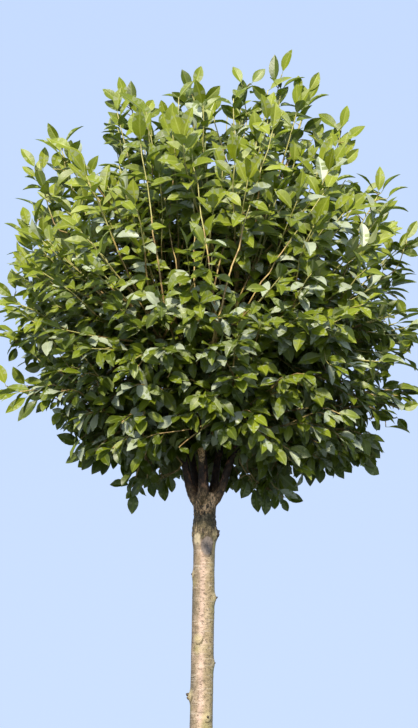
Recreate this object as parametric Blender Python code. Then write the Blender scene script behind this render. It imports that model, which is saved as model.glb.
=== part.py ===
"""A standard dwarf cherry: a round crown top-grafted on a clean stem, standing in a plain terracotta pot.

Units are metres and +Z is up. The origin is the centre of the pot's flat underside, and -Y faces the viewer.
Azimuths are counted from +X towards +Y.
"""

import math
import random

import bmesh
import bpy
from mathutils import Vector
from mathutils.bvhtree import BVHTree

# Clearance that keeps neighbouring solids apart
GAP = 0.0003

# Pot
POT_HEIGHT = 0.42
POT_TOP_RADIUS = 0.240
POT_BASE_RADIUS = 0.175
POT_WALL = 0.018
POT_FLOOR = 0.026
POT_SIDES = 36
RIM_DEPTH = 0.065
RIM_PROUD = 0.012
RIM_ROUND = 0.006
HOLE_RADIUS = 0.009
HOLE_CIRCLE_RADIUS = 0.105
HOLE_COUNT = 4

# Compost in the pot
SOIL_BELOW_RIM = 0.036
SOIL_CROWNING = 0.008
SOIL_FLAT_RADIUS = 0.075
SOIL_BUMP = 0.003

# Stem, from the compost to the fork where the crown starts
STEM_HEIGHT = 1.50
STEM_SIDES = 12
STEM_LEAN = Vector((0.034, -0.004))
STEM_SWAY = 0.004
FLARE_RADIUS = 0.017
FLARE_HEIGHT = 0.055
FLARE_LOBES = 5
# Radius of the stem at each depth below the fork
STEM_RADII = (
    (1.50, 0.0335),
    (0.55, 0.0282),
    (0.26, 0.0268),
    (0.135, 0.0250),
    (0.095, 0.0283),
    (0.045, 0.0245),
    (0.010, 0.0265),
    (0.000, 0.0240),
)
HEAD_DOME = 0.010
HEAD_TOP_RADIUS = 0.012
# Pruning scars that the photo shows: depth below the fork, azimuth in degrees, how proud they stand
SCARS = (
    (0.093, -15, 0.0040),
    (0.186, 190, 0.0025),
    (0.240, -5, 0.0045),
    (0.334, 245, 0.0035),
    (0.390, 0, 0.0030),
    (0.465, 182, 0.0060),
    (0.512, 300, 0.0035),
)
SCAR_SPREAD = 0.014
# Below the last of them the stem has a scar about this often, turning by the golden angle
LOWER_SCAR_STEP = 0.155

# Crown, measured from the fork
CROWN_RISE = 0.44
CROWN_RADIUS = 0.515
CROWN_UPPER = 0.600
CROWN_LOWER = 0.520
LOWER_SHIFT = 0.055
CROWN_LUMP = 0.025
CROWN_LIMIT = 1.12
FOCUS_RISE = 0.17
MASS_START = 0.13
SPACE_MARGIN = 0.0012
OPEN_FOOT_RADIUS = 0.14
# Shoots that make the outline in the photo: sideways from the fork, and above it
OUTLINE_SHOOTS = (
    (-0.176, -0.012),
    (-0.320, 0.094),
    (-0.470, 0.215),
    (-0.505, 0.390),
    (-0.495, 0.560),
    (-0.430, 0.799),
    (-0.364, 0.870),
    (-0.223, 0.971),
    (-0.165, 0.964),
    (-0.035, 1.003),
    (0.071, 0.999),
    (0.160, 1.029),
    (0.200, 1.046),
    (0.254, 0.987),
    (0.324, 0.909),
    (0.411, 0.768),
    (0.501, 0.623),
    (0.517, 0.400),
    (0.500, 0.220),
    (0.423, 0.059),
    (0.188, 0.000),
)
OUTLINE_DEPTHS = (0.0, -0.04, 0.04, -0.08, 0.08, -0.12, 0.12)
SHOOT_SPACING = 0.09

# The dense heart of each mass starts this far from the focus, and ends at this share of the way to the outline
CORE_START = 0.150
CORE_END = 0.62
CORE_LIMB_CLEAR = 0.012
CORE_STEP = 0.004

# Boughs. Each main bough forks into one that rises and one that spreads.
# Azimuth in degrees, and elevation where it leaves the head
MAIN_BOUGHS = {
    "left": (184, 58),
    "right": (350, 50),
    "front": (262, 56),
    "back_left": (122, 54),
    "back_right": (56, 56),
}
RISING_TURN, RISING_ELEVATION = -14, 33
SPREADING_TURN, SPREADING_ELEVATION = 22, -8
TOP_AZIMUTHS = (75, 195, 315)
TOP_ELEVATION = 71
MAIN_LENGTH = 0.115
LEADER_LENGTH = 0.150
MAIN_RADIUS = 0.0098
LEADER_RADIUS = 0.0105
FORK_RADIUS = 0.0080
BRANCH_RADIUS = 0.0068
TIP_RADIUS = 0.0048
HEAD_SEAT_RADIUS = 0.0145
HEAD_SEAT_DEPTH = 0.014
BOUGH_SIDES = 7
BOUGH_POINTS = 5

# Twigs and leaves, which stand for sprays and are larger than life
TIP_COUNT = 92
TWIG_SIDES = 3
TWIG_POINTS = 3
TWIG_RADIUS = 0.0030
TWIG_TIP_RADIUS = 0.0014
TWIG_BEND = 0.035
STEM_TWIG_SIDES = 5
# A mass's stem runs on straight from its bough for this far
STEM_FOOT = 0.010
LEAF_LENGTH = 0.120
LEAF_WIDTH = 0.50
LEAF_WIDEST = 0.46
LEAF_THICKNESS = 0.018
LEAF_FOLD = 0.055
LEAF_DROOP = 0.07
LEAF_ANGLE = 58
LEAF_ROLL = 0.8
LEAVES_PER_TWIG = 5
LEAF_TRIES = 6
GOLDEN_ANGLE = math.pi * (3 - math.sqrt(5))
SEED = 20

SOIL_TOP = POT_HEIGHT - SOIL_BELOW_RIM
UP = Vector((0, 0, 1))
FORK = Vector((STEM_LEAN.x, STEM_LEAN.y, SOIL_TOP + STEM_HEIGHT))
CROWN_CENTRE = FORK + UP * CROWN_RISE
FOCUS = FORK + UP * FOCUS_RISE


def clear_scene():
    for thing in list(bpy.data.objects):
        bpy.data.objects.remove(thing)


def make_material(name, colour, roughness):
    """A Principled material of one colour; nothing on the plant or the pot is metal."""
    made = bpy.data.materials.new(name)
    made.use_nodes = True
    shader = made.node_tree.nodes["Principled BSDF"]
    shader.inputs["Base Color"].default_value = (*colour, 1)
    shader.inputs["Roughness"].default_value = roughness
    shader.inputs["Metallic"].default_value = 0.0
    made.diffuse_color = (*colour, 1)
    return made


def mesh_object(name, shape, material, collection=None):
    """An object from (points, faces), linked to the scene."""
    mesh = bpy.data.meshes.new(name)
    mesh.from_pydata([tuple(p) for p in shape[0]], [], shape[1])
    mesh.materials.append(material)
    made = bpy.data.objects.new(name, mesh)
    (collection or bpy.context.scene.collection).objects.link(made)
    return made


def shade_round(thing, angle_deg=40):
    thing.data.shade_smooth()
    thing.data.set_sharp_from_angle(angle=math.radians(angle_deg))


def direction(azimuth_deg, elevation_deg):
    azimuth, elevation = math.radians(azimuth_deg), math.radians(elevation_deg)
    level = math.cos(elevation)
    return Vector((level * math.cos(azimuth), level * math.sin(azimuth), math.sin(elevation)))


def between(table, x):
    """The value at x of a table of (position, value) pairs, in falling order, eased between them."""
    for (x0, y0), (x1, y1) in zip(table, table[1:]):
        if x >= x1:
            share = min(1.0, (x0 - x) / (x0 - x1))
            return y0 + (y1 - y0) * share * share * (3 - 2 * share)
    return table[-1][1]


# Shapes that are lofted from rings of points


def joined_rings(rings, sides):
    """Faces of a closed loft: rings of the same number of points, with a flat cap at each end."""
    faces = [tuple(reversed(range(sides)))]
    for ring in range(rings - 1):
        for side in range(sides):
            a = ring * sides + side
            b = ring * sides + (side + 1) % sides
            faces.append((a, b, b + sides, a + sides))
    last = (rings - 1) * sides
    faces.append(tuple(range(last, last + sides)))
    return faces


def tube(points, radii, sides):
    """A tapering tube along points, with its rings carried along without twisting."""
    vertices = []
    across = (points[1] - points[0]).orthogonal().normalized()
    for i, (point, radius) in enumerate(zip(points, radii)):
        ahead = points[min(i + 1, len(points) - 1)] - points[max(i - 1, 0)]
        ahead.normalize()
        across = (across - ahead * across.dot(ahead)).normalized()
        other = ahead.cross(across)
        for side in range(sides):
            angle = 2 * math.pi * side / sides
            vertices.append(point + (across * math.cos(angle) + other * math.sin(angle)) * radius)
    return vertices, joined_rings(len(points), sides)


def lathe(profile, sides):
    """A solid of revolution about Z from (radius, height) pairs. The profile starts and ends on the axis."""
    vertices = [Vector((0, 0, profile[0][1]))]
    rings = profile[1:-1]
    for radius, height in rings:
        for side in range(sides):
            angle = 2 * math.pi * side / sides
            vertices.append(Vector((radius * math.cos(angle), radius * math.sin(angle), height)))
    vertices.append(Vector((0, 0, profile[-1][1])))
    top = len(vertices) - 1
    faces = []
    for side in range(sides):
        after = (side + 1) % sides
        faces.append((0, 1 + after, 1 + side))
        for ring in range(len(rings) - 1):
            low = 1 + ring * sides
            faces.append((low + side, low + after, low + sides + after, low + sides + side))
        last = 1 + (len(rings) - 1) * sides
        faces.append((last + side, last + after, top))
    return vertices, faces


def bezier(a, b, c, d, count):
    """Points along a cubic curve."""
    points = []
    for i in range(count):
        t = i / (count - 1)
        s = 1 - t
        points.append(a * s**3 + b * (3 * s * s * t) + c * (3 * s * t * t) + d * t**3)
    return points


# Booleans


def bake_modifiers(thing):
    """Replaces an object's mesh by what its modifiers make of it."""
    graph = bpy.context.evaluated_depsgraph_get()
    baked = bpy.data.meshes.new_from_object(thing.evaluated_get(graph))
    thing.modifiers.clear()
    old = thing.data
    thing.data = baked
    baked.name = thing.name
    bpy.data.meshes.remove(old)


def cut_away(thing, cutter_shape):
    """Takes a shape out of an object."""
    cutter = mesh_object(thing.name + "_cutter", cutter_shape, thing.data.materials[0])
    cutter.hide_render = True
    cutter.display_type = "WIRE"
    modifier = thing.modifiers.new("clearance", "BOOLEAN")
    modifier.operation = "DIFFERENCE"
    modifier.object = cutter
    bake_modifiers(thing)
    bpy.data.objects.remove(cutter)


def fuse_all(thing, collection):
    """Joins every object of a collection to one object, then removes them."""
    modifier = thing.modifiers.new("fused", "BOOLEAN")
    modifier.operation = "UNION"
    modifier.operand_type = "COLLECTION"
    modifier.collection = collection
    bake_modifiers(thing)
    for piece in list(collection.objects):
        bpy.data.objects.remove(piece)
    bpy.data.collections.remove(collection)


# Pot and compost


def pot_radius(height):
    return POT_BASE_RADIUS + (POT_TOP_RADIUS - POT_BASE_RADIUS) * height / POT_HEIGHT


def inner_radius(height):
    return pot_radius(height) - POT_WALL


def build_pot(material):
    rim_low = POT_HEIGHT - RIM_DEPTH
    outer_low = pot_radius(rim_low)
    outer_rim = pot_radius(POT_HEIGHT) + RIM_PROUD
    inner_rim = inner_radius(POT_HEIGHT)
    profile = [
        (0, 0),
        (POT_BASE_RADIUS - RIM_ROUND, 0),
        (POT_BASE_RADIUS, RIM_ROUND),
        (outer_low, rim_low - RIM_ROUND),
        (outer_low + RIM_PROUD, rim_low),
        (outer_rim, POT_HEIGHT - RIM_ROUND),
        (outer_rim - RIM_ROUND, POT_HEIGHT),
        (inner_rim + RIM_ROUND, POT_HEIGHT),
        (inner_rim, POT_HEIGHT - RIM_ROUND),
        (inner_radius(POT_FLOOR), POT_FLOOR),
        (0, POT_FLOOR),
    ]
    pot = mesh_object("pot", lathe(profile, POT_SIDES), material)
    for i in range(HOLE_COUNT):
        # Half a step off the X axis, so that no hole meets the mount at the centre
        angle = 2 * math.pi * (i + 0.5) / HOLE_COUNT
        centre = Vector((math.cos(angle), math.sin(angle), 0)) * HOLE_CIRCLE_RADIUS
        ends = [centre - UP * POT_FLOOR, centre + UP * 2 * POT_FLOOR]
        cut_away(pot, tube(ends, [HOLE_RADIUS] * 2, BOUGH_SIDES))
    shade_round(pot)
    return pot


def build_soil(material):
    """Compost that fills the pot, flat where the stem stands and a little uneven round it."""
    low, wall_top = POT_FLOOR + GAP, SOIL_TOP - SOIL_CROWNING
    edge = inner_radius(wall_top) - GAP
    profile = [
        (0, low),
        (inner_radius(low) - GAP, low),
        (edge, wall_top),
        (edge * 0.86, SOIL_TOP - SOIL_CROWNING * 0.5),
        (edge * 0.66, SOIL_TOP - SOIL_CROWNING * 0.2),
        (edge * 0.48, SOIL_TOP - SOIL_CROWNING * 0.1),
        (SOIL_FLAT_RADIUS, SOIL_TOP),
        (0, SOIL_TOP),
    ]
    vertices, faces = lathe(profile, POT_SIDES)
    rng = random.Random(SEED)
    for vertex in vertices:
        spread = math.hypot(vertex.x, vertex.y)
        if vertex.z > wall_top + GAP and spread > SOIL_FLAT_RADIUS + GAP:
            vertex.z += rng.uniform(-SOIL_BUMP, SOIL_BUMP)
    soil = mesh_object("soil", (vertices, faces), material)
    shade_round(soil)
    return soil


# Stem


def stem_centre(depth):
    """Centre of the stem at a depth below the fork: it leans as a whole and sways a little."""
    share = 1 - depth / STEM_HEIGHT
    sway = STEM_SWAY * math.sin(2 * math.pi * share) * (1 - share)
    x = STEM_LEAN.x * share + sway
    y = STEM_LEAN.y * share - 0.5 * sway
    return Vector((x, y, FORK.z - depth))


def all_scars():
    scars = list(SCARS)
    depth, azimuth = SCARS[-1][0] + LOWER_SCAR_STEP, SCARS[-1][1]
    while depth < STEM_HEIGHT - 2 * FLARE_HEIGHT:
        azimuth += math.degrees(GOLDEN_ANGLE)
        scars.append((depth, azimuth, SCARS[1][2]))
        depth += LOWER_SCAR_STEP
    return scars


def stem_radius(depth, azimuth, scars):
    radius = between(STEM_RADII, depth)
    above = STEM_HEIGHT - depth
    lobes = 1 + 0.35 * math.cos(FLARE_LOBES * azimuth + 0.6)
    radius += FLARE_RADIUS * lobes * math.exp(-above / FLARE_HEIGHT)
    for at, towards, proud in scars:
        turn = (azimuth - math.radians(towards) + math.pi) % (2 * math.pi) - math.pi
        away = math.hypot((depth - at) / SCAR_SPREAD, turn * radius / SCAR_SPREAD)
        radius += proud * math.exp(-away * away)
    return radius


def stem_shape(grown=0.0):
    """The stem as a loft from a flat cut on the compost to a domed head. grown makes a seat's cutter."""
    scars = all_scars()
    depths = {STEM_HEIGHT - GAP, STEM_HEIGHT - 0.02, STEM_HEIGHT - 0.05, STEM_HEIGHT - 0.10}
    depths |= {at for at, _, _ in scars}
    depths |= {at + SCAR_SPREAD for at, _, _ in scars} | {at - SCAR_SPREAD for at, _, _ in scars}
    depths |= {depth for depth, _ in STEM_RADII[1:]}
    kept = []
    for depth in sorted(depths, reverse=True):
        if not kept or kept[-1] - depth > 0.006:
            kept.append(depth)
    vertices = []
    for depth in kept:
        centre = stem_centre(depth)
        for side in range(STEM_SIDES):
            azimuth = 2 * math.pi * side / STEM_SIDES
            radius = stem_radius(depth, azimuth, scars) + grown
            vertices.append(centre + Vector((math.cos(azimuth), math.sin(azimuth), 0)) * radius)
    top = stem_centre(0) + UP * (HEAD_DOME + grown)
    for side in range(STEM_SIDES):
        azimuth = 2 * math.pi * side / STEM_SIDES
        vertices.append(top + Vector((math.cos(azimuth), math.sin(azimuth), 0)) * (HEAD_TOP_RADIUS + grown))
    return vertices, joined_rings(len(kept) + 1, STEM_SIDES)


# Boughs


class Limb:
    """A tapering limb: the points of its centre line, and the radius at each."""

    def __init__(self, name, points, base_radius, tip_radius):
        self.name = name
        self.points = points
        last = len(points) - 1
        self.radii = [base_radius + (tip_radius - base_radius) * i / last for i in range(last + 1)]

    def heading(self):
        return (self.points[-1] - self.points[-2]).normalized()

    def shape(self, grown=0.0):
        points = [p.copy() for p in self.points]
        points[0] -= (points[1] - points[0]).normalized() * grown
        points[-1] += self.heading() * grown
        return tube(points, [radius + grown for radius in self.radii], BOUGH_SIDES)


def main_limb(name, azimuth, elevation):
    outward = direction(azimuth, elevation)
    level = direction(azimuth, 0)
    start = FORK + level * HEAD_SEAT_RADIUS - UP * HEAD_SEAT_DEPTH
    end = FORK + outward * MAIN_LENGTH + UP * 0.012
    lift = MAIN_LENGTH / 3
    points = bezier(start, start + outward * lift, end - (outward + level * 0.12) * lift, end, BOUGH_POINTS)
    return Limb("bough_" + name, points, MAIN_RADIUS, FORK_RADIUS)


def leader_limb():
    start = FORK - UP * HEAD_SEAT_DEPTH
    end = FORK + Vector((-0.006, 0.004, LEADER_LENGTH))
    lift = LEADER_LENGTH / 3
    points = bezier(start, start + UP * lift, end - UP * lift, end, BOUGH_POINTS)
    return Limb("bough_leader", points, LEADER_RADIUS, FORK_RADIUS)


def branch_limb(name, parent, axis):
    """A limb from inside the end of its parent to where its mass of foliage starts."""
    heading = parent.heading()
    start = parent.points[-1] - heading * FORK_RADIUS
    end = FOCUS + axis * MASS_START
    reach = (end - start).length / 3
    leaving = (heading + (end - start).normalized() * 1.4).normalized()
    points = bezier(start, start + leaving * reach, end - (axis + leaving).normalized() * reach, end, BOUGH_POINTS)
    return Limb(name, points, BRANCH_RADIUS, TIP_RADIUS)


def plan_limbs():
    """Every bough, in the order in which they are seated, and the limb that carries each mass."""
    limbs, carriers = [leader_limb()], {}
    leader = limbs[0]
    for name, (azimuth, elevation) in MAIN_BOUGHS.items():
        limbs.append(main_limb(name, azimuth, elevation))
    for parent, (name, (azimuth, _)) in zip(limbs[1:], list(MAIN_BOUGHS.items())):
        for kind, turn, rise in (
            ("rising", RISING_TURN, RISING_ELEVATION),
            ("spreading", SPREADING_TURN, SPREADING_ELEVATION),
        ):
            axis = direction(azimuth + turn, rise)
            limb = branch_limb(f"bough_{name}_{kind}", parent, axis)
            limbs.append(limb)
            carriers[f"foliage_{name}_{kind}"] = (limb, axis)
    for number, azimuth in enumerate(TOP_AZIMUTHS, 1):
        axis = direction(azimuth, TOP_ELEVATION)
        limb = branch_limb(f"bough_top_{number}", leader, axis)
        limbs.append(limb)
        carriers[f"foliage_top_{number}"] = (limb, axis)
    return limbs, carriers


def build_limbs(limbs, material):
    """Each bough is cut back from the stem and from the boughs before it, so that it is seated on them."""
    made = []
    for i, limb in enumerate(limbs):
        bough = mesh_object(limb.name, limb.shape(), material)
        cut_away(bough, stem_shape(GAP))
        for earlier in limbs[:i]:
            nearest = min((p - q).length for p in limb.points for q in earlier.points)
            if nearest < 4 * MAIN_RADIUS:
                cut_away(bough, earlier.shape(GAP))
        shade_round(bough)
        made.append(bough)
    return made


# Crown


def lump(towards):
    """How much further than an even crown this one reaches in a direction."""
    azimuth = math.atan2(towards.y, towards.x)
    level = math.hypot(towards.x, towards.y)
    return 1 + CROWN_LUMP * level * (math.sin(3 * azimuth + 1.1) + math.sin(5 * azimuth + 2.0)) / 2


def crown_point(towards):
    """The point of the crown's outline in a direction from its centre."""
    height = CROWN_UPPER if towards.z > 0 else CROWN_LOWER
    level = math.hypot(towards.x, towards.y)
    reach = lump(towards) / math.hypot(level / CROWN_RADIUS, towards.z / height)
    point = CROWN_CENTRE + towards * reach
    point.x += LOWER_SHIFT * max(0.0, -towards.z * reach / CROWN_LOWER)
    return point


def crown_share(point):
    """0 at the crown's centre and 1 at its outline."""
    away = point - CROWN_CENTRE
    away.x -= LOWER_SHIFT * max(0.0, -away.z / CROWN_LOWER)
    height = CROWN_UPPER if away.z > 0 else CROWN_LOWER
    level = math.hypot(away.x, away.y)
    return math.hypot(level / CROWN_RADIUS, away.z / height) / lump(away.normalized())


def shoot_heading(towards):
    """Shoots point outwards, and turn up towards the light except low in the crown."""
    return (towards + UP * (0.35 + 0.45 * towards.z)).normalized()


def border_distance(point, axes):
    """How far a point is from the nearest plane between two masses."""
    away = point - FOCUS
    owner = max(axes, key=away.dot)
    return min((owner - other).normalized().dot(away) for other in axes if other is not owner)


def crown_tips(axes):
    """Where shoots end, each with its heading: the outline's own, and the rest even over the crown."""
    points = []
    for sideways, above in OUTLINE_SHOOTS:
        choices = [FORK + Vector((sideways, depth, above)) for depth in OUTLINE_DEPTHS]
        points.append(max(choices, key=lambda point: min(border_distance(point, axes), LEAF_LENGTH / 2)))
    for i in range(TIP_COUNT):
        height = 1 - 2 * (i + 0.5) / TIP_COUNT
        level = math.sqrt(1 - height * height)
        point = crown_point(Vector((level * math.cos(i * GOLDEN_ANGLE), level * math.sin(i * GOLDEN_ANGLE), height)))
        at_foot = height < 0 and math.hypot(point.x - FORK.x, point.y - FORK.y) < OPEN_FOOT_RADIUS
        crowded = any((point - other).length < SHOOT_SPACING for other in points[: len(OUTLINE_SHOOTS)])
        if not at_foot and not crowded:
            points.append(point)
    return [(point, shoot_heading((point - CROWN_CENTRE).normalized())) for point in points]


class Space:
    """The room that one mass keeps to: what lies nearer its own axis than any other's, seen from the focus."""

    def __init__(self, axis, axes):
        self.axis = axis
        self.normals = [(axis - other).normalized() for other in axes if other is not axis]

    def holds(self, points):
        for point in points:
            away = point - FOCUS
            if any(normal.dot(away) < SPACE_MARGIN for normal in self.normals):
                return False
            if crown_share(point) > CROWN_LIMIT:
                return False
        return True

    def core(self, limbs_tree):
        """A blob that fills the middle of the space: pushed out from its centre until it leaves the space."""
        outer = CORE_START
        while crown_share(FOCUS + self.axis * outer / CORE_END) < 1:
            outer += CORE_STEP
        centre = FOCUS + self.axis * (CORE_START + outer) / 2
        ball = bmesh.new()
        bmesh.ops.create_icosphere(ball, subdivisions=2, radius=1)
        for vertex in ball.verts:
            reach = CORE_STEP
            while self.in_core(centre + vertex.co * (reach + CORE_STEP), limbs_tree):
                reach += CORE_STEP
            vertex.co = centre + vertex.co * reach
        shape = [v.co.copy() for v in ball.verts], [tuple(v.index for v in face.verts) for face in ball.faces]
        ball.free()
        return shape

    def in_core(self, point, limbs_tree):
        away = point - FOCUS
        clear = limbs_tree.find_nearest(point, CORE_LIMB_CLEAR)[0] is None
        inside = away.length > CORE_START and crown_share(FOCUS + away / CORE_END) < 1
        return clear and inside and self.holds([point])


def leaf_shape(base, along, up, length):
    """A pointed blade of 8 faces, folded up along its midrib."""
    side = up.cross(along).normalized()
    up = along.cross(side)

    def place(forward, sideways, upward):
        return base + (along * forward + side * sideways + up * upward) * length

    half, thick = LEAF_WIDTH / 2, LEAF_THICKNESS / 2
    points = [
        place(0, 0, 0),
        place(LEAF_WIDEST, half, LEAF_FOLD),
        place(1, 0, -LEAF_DROOP),
        place(LEAF_WIDEST, -half, LEAF_FOLD),
        place(LEAF_WIDEST, 0, thick),
        place(LEAF_WIDEST, 0, -thick),
    ]
    faces = [(0, 3, 4), (3, 2, 4), (2, 1, 4), (1, 0, 4), (0, 1, 5), (1, 2, 5), (2, 3, 5), (3, 0, 5)]
    return points, faces


def along_line(points, share):
    """The point and the heading at a share of a line's points."""
    at = share * (len(points) - 1)
    i = min(int(at), len(points) - 2)
    return points[i].lerp(points[i + 1], at - i), (points[i + 1] - points[i]).normalized()


def tree_of(shape):
    return BVHTree.FromPolygons([tuple(p) for p in shape[0]], shape[1])


class Foliage:
    """One mass: a stem that carries on from its bough, twigs from the stem, and leaves fused on them."""

    def __init__(self, name, carrier, space, limbs_tree, tips, seed):
        self.name, self.space, self.limbs_tree = name, space, limbs_tree
        self.rng = random.Random(seed)
        self.pieces, self.leaf_trees = [], []
        self.grow_stem(carrier, tips)

    def grow_stem(self, carrier, tips):
        """The stem runs to the tip nearest the mass's axis. The other tips get twigs from it."""
        tips = sorted(tips, key=lambda tip: -(tip[0] - FOCUS).normalized().dot(self.space.axis))
        leaving = carrier.heading()
        foot = carrier.points[-1] + leaving * GAP
        start = foot + leaving * STEM_FOOT
        end, heading = self.twig_end(tips[0])
        reach = (end - start).length / 3
        line = [foot] + bezier(start, start + leaving * reach, end - heading * reach, end, 2 * TWIG_POINTS)
        last = len(line) - 1
        self.stem_radii = [TIP_RADIUS + (TWIG_TIP_RADIUS - TIP_RADIUS) * i / last for i in range(last + 1)]
        self.stem = line
        self.stem_shape = tube(line, self.stem_radii, STEM_TWIG_SIDES)
        self.pieces.append(self.space.core(self.limbs_tree))
        self.leafy(line, self.stem_radii, 0.60)
        for tip in tips[1:]:
            self.grow_twig(tip)

    def twig_end(self, tip):
        """A twig stops a leaf's length inside the crown's outline, where its last leaf starts."""
        point, heading = tip
        return point - heading * LEAF_LENGTH, heading

    def grow_twig(self, tip):
        end, heading = self.twig_end(tip)
        off_axis = (end - FOCUS).normalized().angle(self.space.axis)
        share = max(0.10, 0.62 - 0.75 * off_axis) + self.rng.uniform(-0.04, 0.04)
        start, _ = along_line(self.stem, share)
        reach = (end - start).length
        bend = UP * (TWIG_BEND if end.z < start.z else -TWIG_BEND)
        for straighten in (1.0, 0.4, 0.0):
            leaving = start + (end - start) * 0.35 + bend * straighten
            arriving = end - (heading * straighten + (end - start).normalized() * (1 - straighten)) * reach * 0.3
            line = bezier(start, leaving, arriving, end, TWIG_POINTS)
            radii = [TWIG_RADIUS + (TWIG_TIP_RADIUS - TWIG_RADIUS) * i / (TWIG_POINTS - 1) for i in range(TWIG_POINTS)]
            shape = tube(line, radii, TWIG_SIDES)
            if self.space.holds(shape[0]) and not self.limbs_tree.overlap(tree_of(shape)):
                self.pieces.append(shape)
                self.leafy(line, radii, 0.40)
                return

    def leafy(self, line, radii, from_share):
        """Leaves set round a twig by the golden angle, with one at its tip."""
        end, heading = along_line(line, 1.0)
        self.try_leaf(end, heading, heading, 0.0, 0.0, radii[-1])
        turn = self.rng.uniform(0, 2 * math.pi)
        for i in range(LEAVES_PER_TWIG):
            share = 0.97 - (0.97 - from_share) * i / (LEAVES_PER_TWIG - 1)
            point, heading = along_line(line, share)
            radius = radii[0] + (radii[-1] - radii[0]) * share
            for attempt in range(LEAF_TRIES):
                angle = turn + attempt * math.pi / 3
                opened = math.radians(LEAF_ANGLE - 18 * share + self.rng.uniform(-8, 8))
                if self.try_leaf(point, heading, heading, angle, opened, radius):
                    break
            turn += GOLDEN_ANGLE

    def try_leaf(self, point, heading, lit, angle, opened, radius):
        across = heading.orthogonal().normalized()
        other = heading.cross(across)
        outward = across * math.cos(angle) + other * math.sin(angle)
        along = (heading * math.cos(opened) + outward * math.sin(opened)).normalized()
        facing = lit * 0.5 + UP * 0.9
        if facing.cross(along).length < 0.25:
            facing = outward
        facing += facing.cross(along).normalized() * self.rng.uniform(-LEAF_ROLL, LEAF_ROLL)
        length = LEAF_LENGTH * self.rng.uniform(0.90, 1.0)
        if opened == 0.0:
            length = LEAF_LENGTH
        shape = leaf_shape(point - along * radius * 0.5, along, facing, length)
        if not self.space.holds(shape[0]):
            return False
        tree = tree_of(shape)
        if self.limbs_tree.overlap(tree) or any(other.overlap(tree) for other in self.leaf_trees):
            return False
        self.leaf_trees.append(tree)
        self.pieces.append(shape)
        return True

    def build(self, material):
        mass = mesh_object(self.name, self.stem_shape, material)
        collection = bpy.data.collections.new(self.name + "_pieces")
        bpy.context.scene.collection.children.link(collection)
        for i, shape in enumerate(self.pieces):
            mesh_object(f"{self.name}_piece_{i}", shape, material, collection)
        fuse_all(mass, collection)
        shade_round(mass, 25)
        return mass


def build_crown(limbs, carriers, material):
    grown = [stem_shape(3 * GAP)] + [limb.shape(3 * GAP) for limb in limbs]
    vertices, faces = [], []
    for points, polygons in grown:
        first = len(vertices)
        vertices += points
        faces += [tuple(first + i for i in polygon) for polygon in polygons]
    limbs_tree = tree_of((vertices, faces))
    axes = [axis for _, axis in carriers.values()]
    tips_of = {name: [] for name in carriers}
    for tip in crown_tips(axes):
        away = (tip[0] - FOCUS).normalized()
        owner = max(carriers, key=lambda name: carriers[name][1].dot(away))
        tips_of[owner].append(tip)
    made, leaves = [], 0
    for number, (name, (limb, axis)) in enumerate(carriers.items()):
        foliage = Foliage(name, limb, Space(axis, axes), limbs_tree, tips_of[name], SEED + number)
        leaves += len(foliage.leaf_trees)
        made.append(foliage.build(material))
    print(f"{len(made)} masses, {leaves} leaves")
    return made


def main():
    clear_scene()
    terracotta = make_material("terracotta", (0.52, 0.22, 0.12), 0.85)
    compost = make_material("compost", (0.050, 0.034, 0.024), 0.95)
    bark = make_material("bark", (0.32, 0.25, 0.18), 0.75)
    leaf = make_material("leaf", (0.075, 0.130, 0.025), 0.45)
    parts = [build_pot(terracotta), build_soil(compost)]
    stem = mesh_object("trunk", stem_shape(), bark)
    shade_round(stem)
    limbs, carriers = plan_limbs()
    parts += [stem] + build_limbs(limbs, bark) + build_crown(limbs, carriers, leaf)
    plant = bpy.data.objects.new("potted_cherry", None)
    bpy.context.scene.collection.objects.link(plant)
    for part in parts:
        part.parent = plant


main()
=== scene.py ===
"""Looks of the potted dwarf cherry: bark, boughs, twigs, leaves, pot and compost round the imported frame.

Units are metres and +Z is up. The origin is the centre of the pot's flat underside, and -Y faces the viewer.
Azimuths are counted from +X towards +Y.
"""

import math
import random

import bmesh
import bpy
import numpy as np
from mathutils import Euler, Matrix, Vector, noise


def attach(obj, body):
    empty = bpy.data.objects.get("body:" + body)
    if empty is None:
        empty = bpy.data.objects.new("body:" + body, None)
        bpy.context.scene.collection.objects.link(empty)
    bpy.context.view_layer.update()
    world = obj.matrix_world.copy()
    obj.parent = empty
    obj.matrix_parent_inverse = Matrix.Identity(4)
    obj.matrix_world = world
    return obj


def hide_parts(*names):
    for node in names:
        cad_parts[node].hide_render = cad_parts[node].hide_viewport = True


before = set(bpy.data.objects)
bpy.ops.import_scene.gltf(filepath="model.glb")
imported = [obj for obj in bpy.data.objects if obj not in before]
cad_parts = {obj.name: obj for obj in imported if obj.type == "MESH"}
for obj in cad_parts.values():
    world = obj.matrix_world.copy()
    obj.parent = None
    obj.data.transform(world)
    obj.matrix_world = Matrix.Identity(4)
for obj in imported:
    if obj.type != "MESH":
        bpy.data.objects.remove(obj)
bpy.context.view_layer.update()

MM = 0.001

# Sizes that the solids share with these pieces
POT_HEIGHT = 0.42
POT_TOP_RADIUS = 0.240
POT_BASE_RADIUS = 0.175
POT_WALL = 0.018
POT_FLOOR = 0.026
RIM_DEPTH = 0.065
RIM_PROUD = 0.012
HOLE_RADIUS = 0.009
HOLE_CIRCLE_RADIUS = 0.105
HOLE_COUNT = 4
SOIL_BELOW_RIM = 0.036
SOIL_CROWNING = 0.008

STEM_HEIGHT = 1.50
STEM_LEAN = Vector((0.034, -0.004))
STEM_SWAY = 0.004
FLARE_RADIUS = 0.017
FLARE_HEIGHT = 0.055
FLARE_LOBES = 5
# How far below the head, and the radius there
STEM_RADII = (
    (1.50, 0.0335), (0.75, 0.0282), (0.45, 0.0262), (0.26, 0.0258), (0.135, 0.0250), (0.095, 0.0283),
    (0.045, 0.0245), (0.010, 0.0265), (0.000, 0.0240),
)
HEAD_DOME = 0.010
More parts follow.
